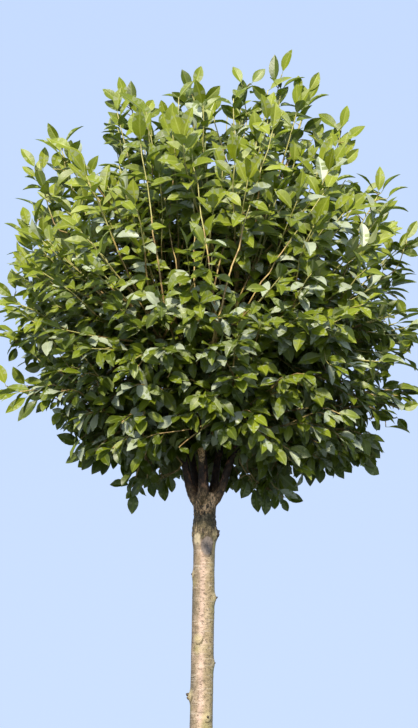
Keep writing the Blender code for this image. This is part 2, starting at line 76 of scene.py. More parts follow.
# Pruning scars: how far below the head, towards which side, and how proud
SCARS = (
    (0.093, -15, 0.0040), (0.186, 190, 0.0025), (0.240, -5, 0.0045), (0.334, 245, 0.0035),
    (0.390, 0, 0.0030), (0.465, 182, 0.0060), (0.512, 300, 0.0035),
)
SCAR_SPREAD = 0.011
STEM_BOW = 0.005
LOWER_SCAR_STEP = 0.155

CROWN_RISE = 0.44
CROWN_RADIUS = 0.515
CROWN_UPPER = 0.600
CROWN_LOWER = 0.520
LOWER_SHIFT = 0.055
CROWN_LUMP = 0.025
FOCUS_RISE = 0.17
MASS_START = 0.13
OPEN_FOOT_RADIUS = 0.14
# Where shoots meet the outline: to the right of the fork, and above it
OUTLINE_SHOOTS = (
    (-0.176, -0.012), (-0.320, 0.094), (-0.470, 0.215), (-0.505, 0.390), (-0.495, 0.560), (-0.430, 0.799),
    (-0.364, 0.870), (-0.223, 0.971), (-0.165, 0.964), (-0.035, 1.003), (0.071, 0.999), (0.160, 1.029),
    (0.200, 1.046), (0.254, 0.987), (0.324, 0.909), (0.411, 0.768), (0.501, 0.623), (0.517, 0.400),
    (0.500, 0.220), (0.423, 0.059), (0.188, 0.000),
)
OUTLINE_DEPTHS = (0.0, -0.04, 0.04, -0.08, 0.08, -0.12, 0.12)
SHOOT_SPACING = 0.09
TIP_COUNT = 92
CAD_LEAF_LENGTH = 0.120

# Azimuth and elevation of each bough
MAIN_BOUGHS = {
    "left": (184, 58),
    "right": (350, 50),
    "front": (262, 56),
    "back_left": (122, 54),
    "back_right": (56, 56),
}
RISING_TURN, RISING_ELEVATION = -14, 33
SPREADING_TURN, SPREADING_ELEVATION = 22, -8
TOP_AZIMUTHS = (75, 195, 315)
TOP_ELEVATION = 71
MAIN_LENGTH = 0.115
LEADER_LENGTH = 0.150
MAIN_RADIUS = 0.0098
LEADER_RADIUS = 0.0105
FORK_RADIUS = 0.0080
BRANCH_RADIUS = 0.0068
TIP_RADIUS = 0.0048
HEAD_SEAT_RADIUS = 0.0145
HEAD_SEAT_DEPTH = 0.014

# Finer growth than the solids carry
LIMB_POINTS = 14
SHOOT_POINTS = 9
SHOOT_BASE_RADIUS = 0.0040
SHOOT_TIP_RADIUS = 0.0011
STEM_SIDES, TWIG_SIDES = 8, 5
# From what share of its length a shoot of each order is green, and above what share of the height
GREEN_FROM, GREEN_ABOVE = (0.8, 0.6, 0.4), 0.25
# More shoots of the outline, by their places in the picture
RIM_SHOOTS = (
    (0.498, 0.418), (0.494, 0.371), (0.495, 0.235), (0.430, 0.105), (0.418, 0.089), (0.407, 0.052),
    (-0.359, 0.152),
)
# Measured sprays that stand clear of the crown, in millimetres to the right of the fork and above it.
# Each has the points of its stem, then its leaves: foot, tip and kind, which is pale, deep or arching.
MEASURED_SPRAYS = (
    (((-251, 599), (-282, 665), (-313, 721), (-327, 764), (-336, 811)),
     ((-338, 820, -369, 874, 0), (-331, 822, -287, 865, 2), (-338, 794, -397, 834, 2),
      (-322, 785, -315, 834, 1), (-357, 766, -341, 808, 0), (-324, 759, -341, 724, 1),
      (-298, 693, -315, 717, 0))),
    (((-355, 639), (-367, 674), (-376, 707), (-388, 745), (-395, 766)),
     ((-397, 766, -432, 813, 0), (-381, 761, -376, 818, 0), (-376, 710, -397, 771, 1),
      (-395, 738, -423, 747, 2), (-360, 703, -392, 714, 2), (-357, 696, -322, 747, 1))),
    (((-251, 604), (-280, 660), (-277, 705), (-280, 747)),
     ((-282, 745, -310, 790, 1), (-275, 747, -251, 797, 0), (-275, 719, -244, 747, 0),
      (-280, 686, -294, 738, 1), (-270, 682, -284, 644, 1))),
    (((-345, 557), (-374, 585), (-392, 609), (-409, 630)),
     ((-374, 660, -444, 696, 2), (-381, 592, -381, 656, 1), (-414, 630, -428, 677, 0),
      (-423, 604, -470, 637, 2), (-404, 604, -442, 649, 0), (-345, 644, -352, 686, 0),
      (-388, 599, -345, 576, 0))),
    (((-209, 658), (-212, 693), (-216, 721)),
     ((-219, 707, -247, 740, 0), (-214, 717, -219, 754, 0), (-183, 757, -249, 773, 2),
      (-207, 703, -169, 726, 1))),
    (((-125, 750), (-143, 787), (-153, 825), (-162, 858), (-172, 905)),
     ((-183, 919, -202, 982, 0), (-169, 905, -174, 973, 1), (-200, 919, -240, 954, 0),
      (-190, 898, -235, 924, 1), (-162, 848, -228, 900, 1), (-150, 855, -150, 914, 0),
      (-143, 895, -122, 928, 0), (-139, 881, -106, 907, 1), (-167, 830, -240, 851, 2),
      (-155, 806, -230, 839, 1), (-148, 787, -207, 820, 1), (-132, 787, -127, 870, 1),
      (-132, 757, -174, 790, 1))),
    (((-85, 768), (-87, 811), (-82, 846), (-82, 884)),
     ((-89, 888, -103, 928, 0), (-85, 886, -92, 839, 1), (-80, 881, -38, 870, 1), (-87, 792, -129, 834, 1),
      (-80, 785, -56, 839, 1), (-82, 879, -56, 907, 1))),
    (((-24, 783), (-21, 827), (-16, 877), (-21, 916), (-31, 942)),
     ((-35, 942, -54, 999, 1), (-26, 956, -9, 1008, 0), (-42, 919, -99, 938, 2), (-35, 912, -78, 947, 1),
      (-9, 919, 35, 961, 1), (5, 895, 35, 938, 0), (-7, 902, 16, 874, 1), (-14, 860, 49, 877, 2),
      (-26, 815, -75, 884, 1), (-21, 834, -59, 853, 1), (-16, 822, 21, 851, 0))),
    (((85, 792), (92, 846), (99, 886), (94, 919), (94, 952)),
     ((87, 964, 66, 1006, 0), (108, 966, 141, 1001, 0), (94, 914, 89, 975, 1), (106, 968, 150, 919, 1),
      (103, 898, 148, 924, 0), (92, 879, 38, 916, 1), (87, 872, 45, 900, 2), (101, 884, 136, 905, 1),
      (113, 884, 139, 844, 1), (85, 806, 40, 848, 1), (89, 820, 63, 874, 1), (96, 822, 125, 787, 1))),
    (((141, 799), (150, 846), (157, 886), (164, 919), (172, 956)),
     ((164, 964, 164, 1034, 1), (181, 989, 204, 1046, 0), (162, 905, 195, 959, 1), (179, 952, 233, 980, 2),
      (136, 862, 155, 884, 1), (148, 815, 197, 865, 1), (143, 811, 106, 820, 2))),
    (((202, 811), (216, 853), (228, 886), (240, 928), (244, 947)),
     ((223, 935, 219, 985, 0), (242, 945, 268, 994, 0), (226, 895, 242, 949, 1), (237, 907, 289, 938, 2),
      (226, 851, 275, 886, 1), (251, 832, 277, 872, 0), (214, 874, 183, 900, 0), (216, 844, 197, 862, 0),
      (195, 851, 188, 881, 0), (214, 818, 251, 827, 1))),
    (((294, 731), (303, 768), (310, 811), (320, 855)),
     ((320, 858, 334, 914, 0), (315, 858, 268, 895, 1), (327, 830, 376, 867, 0), (313, 771, 360, 813, 0),
      (308, 815, 294, 851, 0), (296, 783, 289, 822, 1), (289, 750, 258, 804, 1), (303, 733, 352, 745, 2),
      (289, 693, 284, 736, 1), (296, 693, 329, 728, 1), (280, 703, 249, 771, 1))),
    (((352, 595), (367, 637), (392, 679), (407, 705)),
     ((407, 707, 411, 771, 0), (397, 714, 357, 754, 2), (414, 710, 458, 752, 2), (428, 696, 475, 721, 2),
      (421, 667, 475, 665, 2), (376, 665, 360, 717, 1), (329, 677, 362, 726, 0), (407, 634, 432, 665, 1),
      (390, 604, 458, 613, 2), (425, 616, 439, 573, 0), (390, 660, 421, 686, 1), (369, 632, 404, 649, 1))),
    (((458, 548), (468, 580), (475, 599)),
     ((470, 597, 498, 644, 0), (482, 585, 515, 604, 1), (463, 571, 501, 562, 1), (465, 576, 439, 592, 1))),
    (((-306, 336), (-336, 352), (-376, 395), (-400, 416), (-416, 432), (-435, 449), (-449, 463)),
     ((-449, 463, -496, 501, 0), (-444, 479, -454, 531, 0), (-404, 432, -409, 503, 0),
      (-418, 432, -496, 421, 2), (-409, 416, -472, 407, 2), (-388, 407, -352, 444, 1),
      (-369, 390, -388, 458, 1))),
    (((-308, 458), (-336, 486), (-352, 498), (-369, 508)),
     ((-371, 508, -430, 510, 2), (-376, 505, -416, 548, 0), (-341, 491, -378, 482, 0),
      (-338, 486, -350, 533, 1), (-360, 503, -392, 489, 1))),
    (((-317, 494), (-345, 533), (-364, 557), (-381, 564)),
     ((-381, 564, -463, 564, 2), (-378, 562, -397, 526, 0), (-348, 538, -388, 555, 1),
      (-341, 531, -298, 548, 1))),
    (((-301, 266), (-345, 291), (-378, 306), (-404, 331), (-425, 348), (-446, 360)),
     ((-449, 362, -501, 371, 2), (-449, 367, -402, 400, 1), (-442, 364, -404, 331, 1),
      (-442, 350, -461, 315, 1), (-378, 308, -423, 296, 1), (-341, 291, -388, 336, 1),
      (-345, 291, -313, 336, 1))),
    (((-294, 303), (-327, 284), (-355, 268), (-383, 258), (-416, 256)),
     ((-421, 256, -451, 301, 1), (-395, 256, -416, 275, 1), (-331, 282, -395, 266, 1),
      (-355, 268, -341, 226, 1))),
    (((-294, 212), (-341, 223), (-369, 233), (-392, 237), (-416, 237), (-442, 247), (-463, 254)),
     ((-451, 247, -498, 223, 1), (-468, 256, -489, 310, 0), (-407, 237, -435, 247, 1),
      (-416, 233, -468, 193, 0), (-388, 228, -439, 174, 1), (-355, 226, -397, 193, 1),
      (-345, 219, -364, 202, 0), (-374, 235, -355, 266, 1))),
    (((-258, 176), (-294, 190), (-317, 197), (-334, 200)),
     ((-336, 197, -357, 164, 0), (-324, 195, -348, 153, 1), (-308, 193, -303, 148, 1))),
    (((329, 416), (364, 437), (388, 454), (404, 470), (423, 486), (437, 503), (451, 519)),
     ((416, 524, 439, 555, 1), (437, 503, 463, 531, 0), (449, 526, 491, 522, 2), (439, 501, 494, 517, 2),
      (430, 489, 491, 498, 2), (421, 486, 407, 526, 0), (414, 479, 477, 475, 2), (423, 475, 470, 458, 2),
      (390, 451, 439, 442, 2), (451, 465, 468, 425, 1), (454, 461, 430, 430, 1), (383, 414, 402, 439, 1),
      (369, 437, 345, 468, 1))),
    (((345, 416), (378, 411), (404, 407), (421, 409)),
     ((425, 407, 444, 350, 1), (409, 400, 341, 371, 0), (390, 381, 439, 352, 1), (404, 411, 418, 428, 0),
      (378, 409, 364, 381, 1))),
    (((329, 352), (352, 362), (369, 364)),
     ((367, 364, 425, 341, 2), (390, 360, 357, 348, 1), (345, 357, 392, 329, 1))),
    (((345, 240), (369, 254), (388, 273), (402, 287), (414, 303), (435, 310)),
     ((435, 310, 505, 287, 2), (449, 331, 409, 315, 1), (407, 284, 437, 280, 1), (392, 282, 364, 268, 0),
      (371, 291, 392, 334, 1), (454, 334, 484, 364, 0), (376, 261, 345, 282, 1))),
    (((345, 226), (374, 242), (397, 249), (418, 244), (437, 233)),
     ((411, 249, 456, 266, 1), (437, 233, 463, 244, 0), (435, 230, 463, 226, 1), (392, 244, 378, 219, 1),
      (468, 242, 505, 233, 2))),
    (((317, 200), (345, 204), (369, 209), (392, 214)),
     ((392, 214, 463, 200, 2), (458, 202, 501, 214, 0), (378, 219, 360, 233, 1), (357, 200, 369, 169, 0))),
    (((345, 164), (369, 176), (397, 183), (423, 179), (449, 181)),
     ((449, 181, 395, 188, 1), (451, 183, 475, 155, 1), (425, 160, 479, 146, 2), (388, 176, 411, 153, 1),
      (374, 174, 360, 143, 1))),
    (((-186, 110), (-219, 103), (-247, 101), (-270, 103), (-287, 118)),
     ((-289, 118, -348, 141, 1), (-273, 103, -327, 75, 1), (-287, 122, -298, 172, 1),
      (-266, 106, -270, 153, 1), (-268, 148, -268, 181, 0), (-258, 101, -298, 66, 1),
      (-251, 99, -289, 59, 1), (-228, 96, -266, 49, 1), (-219, 94, -242, 47, 1), (-204, 94, -216, 61, 1))),
    (((-134, 115), (-157, 103), (-181, 94)),
     ((-190, 92, -190, 40, 1), (-176, 92, -179, 42, 1), (-157, 101, -176, 129, 1))),
    (((-63, 59), (-94, 42), (-118, 35), (-136, 31), (-153, 19), (-164, 9)),
     ((-164, 7, -172, -45, 1), (-174, 24, -223, 24, 1), (-136, 31, -179, 33, 1), (-169, 12, -186, -9, 1),
      (-134, 33, -120, -5, 1), (-99, 40, -94, -14, 1), (-110, 78, -139, 40, 1), (-87, 47, -78, 7, 1))),
    (((82, 78), (96, 54), (110, 38)),
     ((101, 35, 85, -7, 1), (82, 40, 73, 5, 1), (110, 31, 101, -2, 1))),
    (((101, 59), (118, 35), (143, 16), (164, 9), (183, -5)),
     ((115, 21, 125, -40, 1), (143, 9, 141, -47, 1), (160, 5, 164, -33, 1), (183, -7, 195, -38, 1),
      (186, -5, 230, -14, 1), (153, 24, 209, 19, 1), (134, 21, 139, -12, 1))),
    (((200, 110), (204, 92), (209, 78)),
     ((209, 78, 214, 40, 1), (195, 82, 186, 45, 1), (223, 94, 228, 54, 1))),
    (((223, 101), (242, 82), (266, 75), (294, 80)),
     ((240, 73, 247, 21, 1), (266, 73, 270, 28, 1), (291, 78, 327, 38, 1), (313, 87, 345, 52, 1),
      (280, 73, 303, 45, 1))),
    (((313, 129), (336, 115), (350, 108)),
     ((350, 106, 360, 66, 1), (341, 108, 331, 78, 1), (369, 106, 402, 66, 1), (367, 75, 409, 49, 1),
      (378, 115, 411, 87, 1))),
)
# Gaps in the rim of the crown: to the right of the fork, above it, and how large
OPEN_PLACES = (
    (-0.305, 0.747, 0.014), (-0.251, 0.712, 0.014), (-0.230, 0.806, 0.026), (-0.418, 0.721, 0.022),
    (-0.200, 0.052, 0.024), (-0.168, 0.050, 0.018), (0.040, 0.877, 0.024), (0.049, 0.787, 0.018),
    (0.134, 0.898, 0.014), (0.134, 0.839, 0.012), (0.195, 0.924, 0.018), (0.207, 0.030, 0.024),
    (0.254, 0.717, 0.013), (0.336, 0.762, 0.026), (0.404, 0.576, 0.016), (0.454, 0.282, 0.021),
    (0.462, 0.402, 0.020), (0.498, 0.334, 0.025), (0.496, 0.461, 0.028),
)
# The uneven outline: to the right of the fork, and how high or low it lies
UPPER_RIM = (
    (-0.482, 0.505), (-0.468, 0.505), (-0.465, 0.635), (-0.442, 0.630), (-0.432, 0.811), (-0.397, 0.790),
    (-0.369, 0.872), (-0.331, 0.834), (-0.294, 0.862), (-0.290, 0.785), (-0.256, 0.795), (-0.244, 0.778),
    (-0.237, 0.952), (-0.209, 0.940), (-0.202, 0.980), (-0.151, 0.954), (-0.147, 0.912), (-0.122, 0.926),
    (-0.110, 0.907), (-0.092, 0.938), (-0.061, 0.940), (-0.054, 0.996), (-0.034, 0.985), (-0.012, 1.008),
    (-0.004, 0.952), (0.028, 0.964), (0.040, 0.920), (0.064, 0.908), (0.069, 1.003), (0.096, 0.973),
    (0.134, 0.999), (0.140, 0.968), (0.150, 1.027), (0.174, 1.022), (0.195, 1.046), (0.207, 0.983),
    (0.266, 0.992), (0.281, 0.893), (0.303, 0.882), (0.334, 0.912), (0.344, 0.866), (0.370, 0.866),
    (0.375, 0.748), (0.395, 0.722), (0.407, 0.771), (0.423, 0.739), (0.449, 0.749), (0.470, 0.632),
    (0.498, 0.642),
)
UNDER_RIM = (
    (-0.482, 0.221), (-0.435, 0.174), (-0.362, 0.200), (-0.358, 0.155), (-0.331, 0.130), (-0.326, 0.080),
    (-0.296, 0.078), (-0.270, 0.060), (-0.240, 0.050), (-0.223, 0.058), (-0.220, 0.024), (-0.195, 0.011),
    (-0.174, -0.040), (-0.153, -0.022), (-0.149, 0.014), (-0.096, -0.009), (-0.074, 0.036), (-0.052, 0.024),
    (0.056, 0.014), (0.082, -0.002), (0.107, 0.005), (0.113, -0.031), (0.139, -0.045), (0.155, -0.028),
    (0.193, -0.033), (0.226, -0.014), (0.232, 0.040), (0.250, 0.028), (0.287, 0.057), (0.313, 0.041),
    (0.357, 0.064), (0.405, 0.054), (0.411, 0.084), (0.428, 0.091), (0.431, 0.155), (0.470, 0.154),
    (0.480, 0.202), (0.498, 0.202),
)
RIM_MARGIN = 0.014
# How far a shoot usually reaches, for some with what is added high in the crown
SPRAY_REACH, SKIRT_REACH, TALL_FOOT_REACH = 0.12, 0.14, 0.03
RIM_REACH = (0.16, 0.14)
SHELL_REACH = (0.12, 0.24)
# How far before or behind the fork things seen in the picture may stand
SPRAY_DEPTH, RIM_SHOOT_DEPTH, FOOT_DEPTH, TIP_DEPTH = 0.05, 0.04, 0.008, 0.012
SHELL_JITTER = 0.09
SPRAY_RADIUS = 0.0024
PETIOLE_SHORTEST = 0.0020
PETIOLE_RADIUS = 0.0013
FINE_RADIUS = 0.0030
STEM_OVERLAP = 0.004
END_MARGIN = 0.002
WOBBLE = 0.006
# What it costs a shoot to leave another at an angle or to come from another mass, and the most it may cost
TURN_COST, SHARP_COST, STRANGER_COST, HIGHEST_COST = 0.35, 5, 10, 2
LEAST_STRAIGHT = 0.2
# Shares of the way to the outline, and how many places are tried at each
SHELLS = ((0.95, 270), (0.83, 280), (0.66, 210), (0.50, 150), (0.36, 80))
OPEN_SHARE = 0.85
UPPER_THINNING = 0.40
# Where shoots are bare at the front: its middle to the right of the fork and above it, and its half sizes
BARE_WINDOW = (0.00, 0.56, 0.27, 0.15)
WINDOW_THINNING = 0.8
BACKED_HALF_WIDTH = 0.26
INNER_SHARE = 0.62
# Shares of the crown's height: where shoots begin to stand up, over how much, and below what leaves hang
UPRIGHT_FROM, UPRIGHT_OVER, HANGING_BELOW = 0.38, 0.25, 0.34
# How far leaves of early and late shoots may pass the outline
OUTLINE_LIMIT, FINE_LIMIT = 1.10, 1.04
# Long bare shoots: foot and top in the picture, depth behind the fork, and radius
TALL_SHOOTS = (
    (-0.106, 0.505, -0.136, 0.724, -0.34, 0.0028), (0.019, 0.482, -0.012, 0.686, -0.36, 0.0029),
    (0.038, 0.444, 0.118, 0.717, -0.38, 0.0036), (-0.025, 0.489, -0.027, 0.642, -0.28, 0.0026),
    (0.134, 0.500, 0.235, 0.646, -0.32, 0.0021), (-0.172, 0.477, -0.240, 0.560, -0.30, 0.0020),
    (0.024, 0.505, 0.063, 0.658, -0.24, 0.0030), (0.099, 0.505, 0.143, 0.599, -0.22, 0.0024),
    (-0.060, 0.500, -0.085, 0.640, -0.20, 0.0024),
)
TALL_REACH = 40
TALL_LIMIT = 0.96
TALL_BEHIND = 0.02
TALL_WOBBLE = 0.0028
TALL_CLEARANCE = 0.006
SKIRT_COUNT = 64
SKIRT_RADII = (0.10, 0.36)
LEAFY_LENGTH = 0.24
SPRAY_SHARE = 0.88
# Share of outer leaves given a pale grey-green: a painted highlight for the gloss of sunlit leaves
PAINTED_GLEAM_SHARE = 0.23
# Slots of the greens on a leaf mesh, and the kinds of leaf in the sprays
DEEP, MID, FRESH, YOUNG, UNDER_DEEP, UNDER_FRESH, PAINTED_GLEAM = range(7)
SEEN_PALE, SEEN_DEEP, SEEN_ARCHING = range(3)
# Measured deep leaves that end lower than this are the deepest green: painted shade on the crown's underside
DEEP_BELOW = 60
LIT_HEIGHT = 1.05
# How low leaves may hang behind the fork, and how much higher in front of it
LOWEST_BEHIND, HIGHER_IN_FRONT = -0.06, 0.13
# Round the fork: within each radius, the least height; then the half width and height of the gap in front
CLEAR_RINGS = ((0.07, 0.065), (0.12, 0.0))
FRONT_GAP = (0.035, 0.080)
# The part of the stem that stays in the sun
SUNLIT_LEFT, SUNLIT_RIGHT, SUNLIT_TOP = -0.034, 0.012, -0.084

# Leaves: their outline gives shares of the length, and half the width there as a share of the length
LEAF_LENGTH = 0.072
LEAF_OUTLINE = (
    (0.00, 0.010), (0.12, 0.011), (0.18, 0.070), (0.29, 0.148), (0.44, 0.205), (0.60, 0.214), (0.75, 0.172),
    (0.89, 0.086),
)
PLAIN_OUTLINE = (
    (0.00, 0.010), (0.19, 0.080), (0.46, 0.208), (0.75, 0.172),
)
PETIOLE_THICKENING = 0.0004
LEAF_THICKNESS = 0.0005
LEAF_SPACING = 0.0150
LEAF_THROUGH = 0.36
RIM_LEAVES = 7
# How leaves vary: shares of the usual size, then degrees
VIGOUR, LENGTH_SPREAD, WIDTH_SPREAD = (0.90, 1.14), (0.86, 1.10), (0.90, 1.08)
ARCH_LEAST, ARCH_MOST, TWIST_MOST = 10, 66, 26
WIDEST_ANGLE, YOUNG_ANGLE, ANGLE_SPREAD = 70, 16, 9
FOLD_RANGE, MEASURED_FOLD_RANGE = (8, 28), (14, 32)
# Shares of its length to which a leaf is cut until it fits
SHORTER, RIM_SHORTER = (1, 0.85), (1, 0.90, 0.80, 0.70)
# What a measured leaf of each kind takes of the usual width
KIND_WIDTHS = (0.98, 1.07, 0.96)
WIDEST_LEAF = 1.45
MEASURED_WIDTH = 0.062
GOLDEN_ANGLE = math.pi * (3 - math.sqrt(5))
SEED = 20

# Bark: rows of points stand closer down to a depth below the head
BARK_SIDES = 96
BARK_STEP = 0.0024
BARK_LOWER_STEP = 0.0048
BARK_LOWER = 0.62
STEM_CUT = STEM_HEIGHT - 0.0003
PLATE_RELIEF, WAVE_RELIEF, RING_RELIEF = 0.0023, 0.0007, 0.00035
# Rings that close the head: share of the stem's radius, and share of the dome's height
HEAD_RINGS = ((0.86, 0.35), (0.55, 0.8), (0.2, 1.0))
# Spots on the bark: how far below the head, towards which side, half their height, and half their turn
WOUND = (0.121, 286, 0.027, 0.68)
# The second spot is a painted patch of sunlight on the stem just below the graft
PAINTED_SUN_PATCH = (0.104, 233, 0.020, 0.50)
# Sides of the stem where light and shade are painted: greyer shade down the left edge, a paler pink highlight
# down the front that faces the sun, and yellower shade down the right edge
LEFT_SHADE_SIDE, HIGHLIGHT_SIDE, RIGHT_SHADE_SIDE = 196, 264, 338
GRAFT_FROM, GRAFT_TO, GRAFT_FADE = 0.030, 0.092, 0.03
# Twig stubs: how far below the head, towards which side, radius, and how far it stands out
STUBS = (
    (0.088, -12, 0.0056, 0.0022), (0.096, -18, 0.0050, 0.0026), (0.186, 188, 0.0026, 0.0010),
    (0.240, -8, 0.0030, 0.0020), (0.390, -4, 0.0026, 0.0010), (0.462, 183, 0.0042, 0.0030),
    (0.470, 186, 0.0034, 0.0026), (0.512, 300, 0.0034, 0.0020),
)
STUB_TAPER = (1.15, 1.12, 1.06, 1.00, 0.92, 0.72)

# Boughs
BOUGH_SIDES = 16
COLLAR_DEPTH = 0.052
BOUGH_BOW = 0.007
# How much a bough swells where it leaves the wood below, and over how many points that fades
MAIN_SWELLING, BRANCH_SWELLING = (0.85, 2.4), (0.35, 1.6)
SKIN_VOXEL = 0.0016
SKIN_RELIEF = 0.0013
# Bare wood at the fork, so bright that it also paints sunflecks falling through the crown: to the right of
# it, behind it and above it, and how large
BARE_WOOD_AND_SUNFLECKS = (
    (0.015, -0.022, -0.012, 0.015), (-0.008, -0.063, 0.091, 0.016), (0.002, -0.026, -0.030, 0.010),
)

# Pot and what lies on the compost
POT_SIDES = 144
WALL_STEPS = 46
LIP_HEIGHT = 0.008
FLOOR_SHARES = (0.25, 0.40, 0.55, 0.70, 0.84, 0.93)
CHIP_COUNT = 9
SOIL_GAP = 0.0006
SOIL_RINGS, SOIL_SIDES = 64, 176
STEM_CLEARANCE = 0.045
CRUMB_COUNT = 1500
CRUMB_FORM = (
    (1, 0, 0), (-1, 0, 0), (0, 1, 0), (0, -1, 0), (0, 0, 1), (0, 0, -1), (0.6, 0.6, 0.5), (-0.6, -0.6, 0.5),
)
CRUMB_FACES = (
    (4, 0, 6), (4, 6, 2), (0, 2, 6), (4, 2, 1), (4, 1, 7), (4, 7, 3), (1, 3, 7), (4, 3, 0), (5, 2, 0),
    (5, 1, 2), (5, 3, 1), (5, 0, 3),
)

# Studio floor
FLOOR_RADIUS = 24.0
FLOOR_SIDES = 96

# Camera, in front of the plant at eye height
CAMERA_DISTANCE = 5.2
EYE_HEIGHT = 1.5
VIEW_CENTRE_SIDE = 0.0094
VIEW_CENTRE_RISE = 0.308
VIEW_HEIGHT = 728 * 0.00235

# Places and directions that follow from the sizes
SOIL_TOP = POT_HEIGHT - SOIL_BELOW_RIM
UP = Vector((0, 0, 1))
SUN_TRAVEL = Vector((0.20, 0.98, -0.76))
LIGHT_SIDE = Vector((-0.2, -1, 0)).normalized()
FORK = Vector((STEM_LEAN.x, STEM_LEAN.y, SOIL_TOP + STEM_HEIGHT))
LOOK = Vector((FORK.x + VIEW_CENTRE_SIDE, 0, FORK.z + VIEW_CENTRE_RISE))
EYE = Vector((LOOK.x, -math.sqrt(CAMERA_DISTANCE**2 - (LOOK.z - EYE_HEIGHT) ** 2), EYE_HEIGHT))
VIEW_AXIS = (LOOK - EYE).normalized()
VIEW_UP = Vector((1, 0, 0)).cross(VIEW_AXIS)
CROWN_CENTRE = FORK + UP * CROWN_RISE
FOCUS = FORK + UP * FOCUS_RISE


# The plant's form, by the source's rule


def level_at(azimuth):
    return Vector((math.cos(azimuth), math.sin(azimuth), 0))


def ring_angles(sides):
    return [2 * math.pi * side / sides for side in range(sides)]


def turn_from(azimuth, towards_deg):
    """How far an azimuth, or an array of them, is turned from a side: at most half a turn either way."""
    return (azimuth - math.radians(towards_deg) + math.pi) % (2 * math.pi) - math.pi


def jitter(rng, size):
    return Vector([rng.uniform(-size, size) for _ in range(3)])


def direction(azimuth_deg, elevation_deg):
    azimuth, elevation = math.radians(azimuth_deg), math.radians(elevation_deg)
    level = math.cos(elevation)
    return Vector((level * math.cos(azimuth), level * math.sin(azimuth), math.sin(elevation)))


def between(table, x):
    """The value at x of a table of (position, value) pairs, in falling order, eased between them."""
    for (x0, y0), (x1, y1) in zip(table, table[1:]):
        if x >= x1:
            share = min(1.0, (x0 - x) / (x0 - x1))
            return y0 + (y1 - y0) * share * share * (3 - 2 * share)
    return table[-1][1]


def bezier(a, b, c, d, count):
    points = []
    for i in range(count):
        t = i / (count - 1)
        s = 1 - t
        points.append(a * s**3 + b * (3 * s * s * t) + c * (3 * s * t * t) + d * t**3)
    return points


def stem_centre(depth):
    share = 1 - depth / STEM_HEIGHT
    sway = STEM_SWAY * math.sin(2 * math.pi * share) * (1 - share)
    x = STEM_LEAN.x * share + sway
    y = STEM_LEAN.y * share - 0.5 * sway
    return Vector((x, y, FORK.z - depth))


def all_scars():
    scars = list(SCARS)
    depth, azimuth = SCARS[-1][0] + LOWER_SCAR_STEP, SCARS[-1][1]
    while depth < STEM_HEIGHT - 2 * FLARE_HEIGHT:
        azimuth += math.degrees(GOLDEN_ANGLE)
        scars.append((depth, azimuth, SCARS[1][2]))
        depth += LOWER_SCAR_STEP
    return scars


def crown_share(point):
    """0 at the crown's centre and 1 at its outline."""
    away = point - CROWN_CENTRE
    away.x -= LOWER_SHIFT * max(0.0, -away.z / CROWN_LOWER)
    height = CROWN_UPPER if away.z > 0 else CROWN_LOWER
    level = math.hypot(away.x, away.y)
    return math.hypot(level / CROWN_RADIUS, away.z / height) / lump(away.normalized())


def lump(towards):
    azimuth = math.atan2(towards.y, towards.x)
    level = math.hypot(towards.x, towards.y)
    return 1 + CROWN_LUMP * level * (math.sin(3 * azimuth + 1.1) + math.sin(5 * azimuth + 2.0)) / 2


def crown_point(towards, share=1.0):
    """The point in a direction from the crown's centre, at a share of the way to its outline."""
    height = CROWN_UPPER if towards.z > 0 else CROWN_LOWER
    level = math.hypot(towards.x, towards.y)
    reach = share * lump(towards) / math.hypot(level / CROWN_RADIUS, towards.z / height)
    point = CROWN_CENTRE + towards * reach
    point.x += LOWER_SHIFT * max(0.0, -towards.z * reach / CROWN_LOWER)
    return point


def shoot_heading(towards):
    return (towards + UP * (0.35 + 0.45 * towards.z)).normalized()


def border_distance(point, axes):
    away = point - FOCUS
    owner = max(axes, key=away.dot)
    return min((owner - other).normalized().dot(away) for other in axes if other is not owner)


def even_directions(count, turn=0.0):
    """Directions spread evenly by the golden angle."""
    for i in range(count):
        height = 1 - 2 * (i + 0.5) / count
        level = math.sqrt(1 - height * height)
        angle = i * GOLDEN_ANGLE + turn
        yield Vector((level * math.cos(angle), level * math.sin(angle), height))


def height_share(point):
    """0 at the fork and 1 at the top of the crown."""
    return (point.z - FORK.z) / (CROWN_RISE + CROWN_UPPER)


def upper_share(point):
    """0 in the lower crown, where leaves lie level, and 1 in the upper crown, where shoots stand up."""
    return min(1.0, max(0.0, (height_share(point) - UPRIGHT_FROM) / UPRIGHT_OVER))


def seen_at(sideways, above, depth):
    """The point at a depth behind the fork that is seen at a place in the picture, measured from the fork."""
    ray = VIEW_AXIS * CAMERA_DISTANCE + VIEW_UP * (above - VIEW_CENTRE_RISE)
    ray.x += sideways - VIEW_CENTRE_SIDE
    return EYE + ray * ((FORK.y + depth - EYE.y) / ray.y)


def place_in_view(point):
    """Where a point is seen from the front: how far to the right of the fork and above it."""
    ray = point - EYE
    ray *= CAMERA_DISTANCE / ray.dot(VIEW_AXIS)
    return ray.x + VIEW_CENTRE_SIDE, ray.dot(VIEW_UP) + VIEW_CENTRE_RISE


def hides_tall_shoot(point):
    """Whether a leaf here would stand before the bare part of one of the long shoots."""
    seen_side, seen_above = place_in_view(point)
    for foot_side, foot_above, top_side, top_above, depth, _ in TALL_SHOOTS:
        if point.y - FORK.y > depth + TALL_BEHIND:
            continue
        across, rise = top_side - foot_side, top_above - foot_above
        share = ((seen_side - foot_side) * across + (seen_above - foot_above) * rise) / (across**2 + rise**2)
        if 0 < share < 1:
            beside, below = seen_side - foot_side - share * across, seen_above - foot_above - share * rise
            if math.hypot(beside, below) < TALL_CLEARANCE:
                return True
    return False


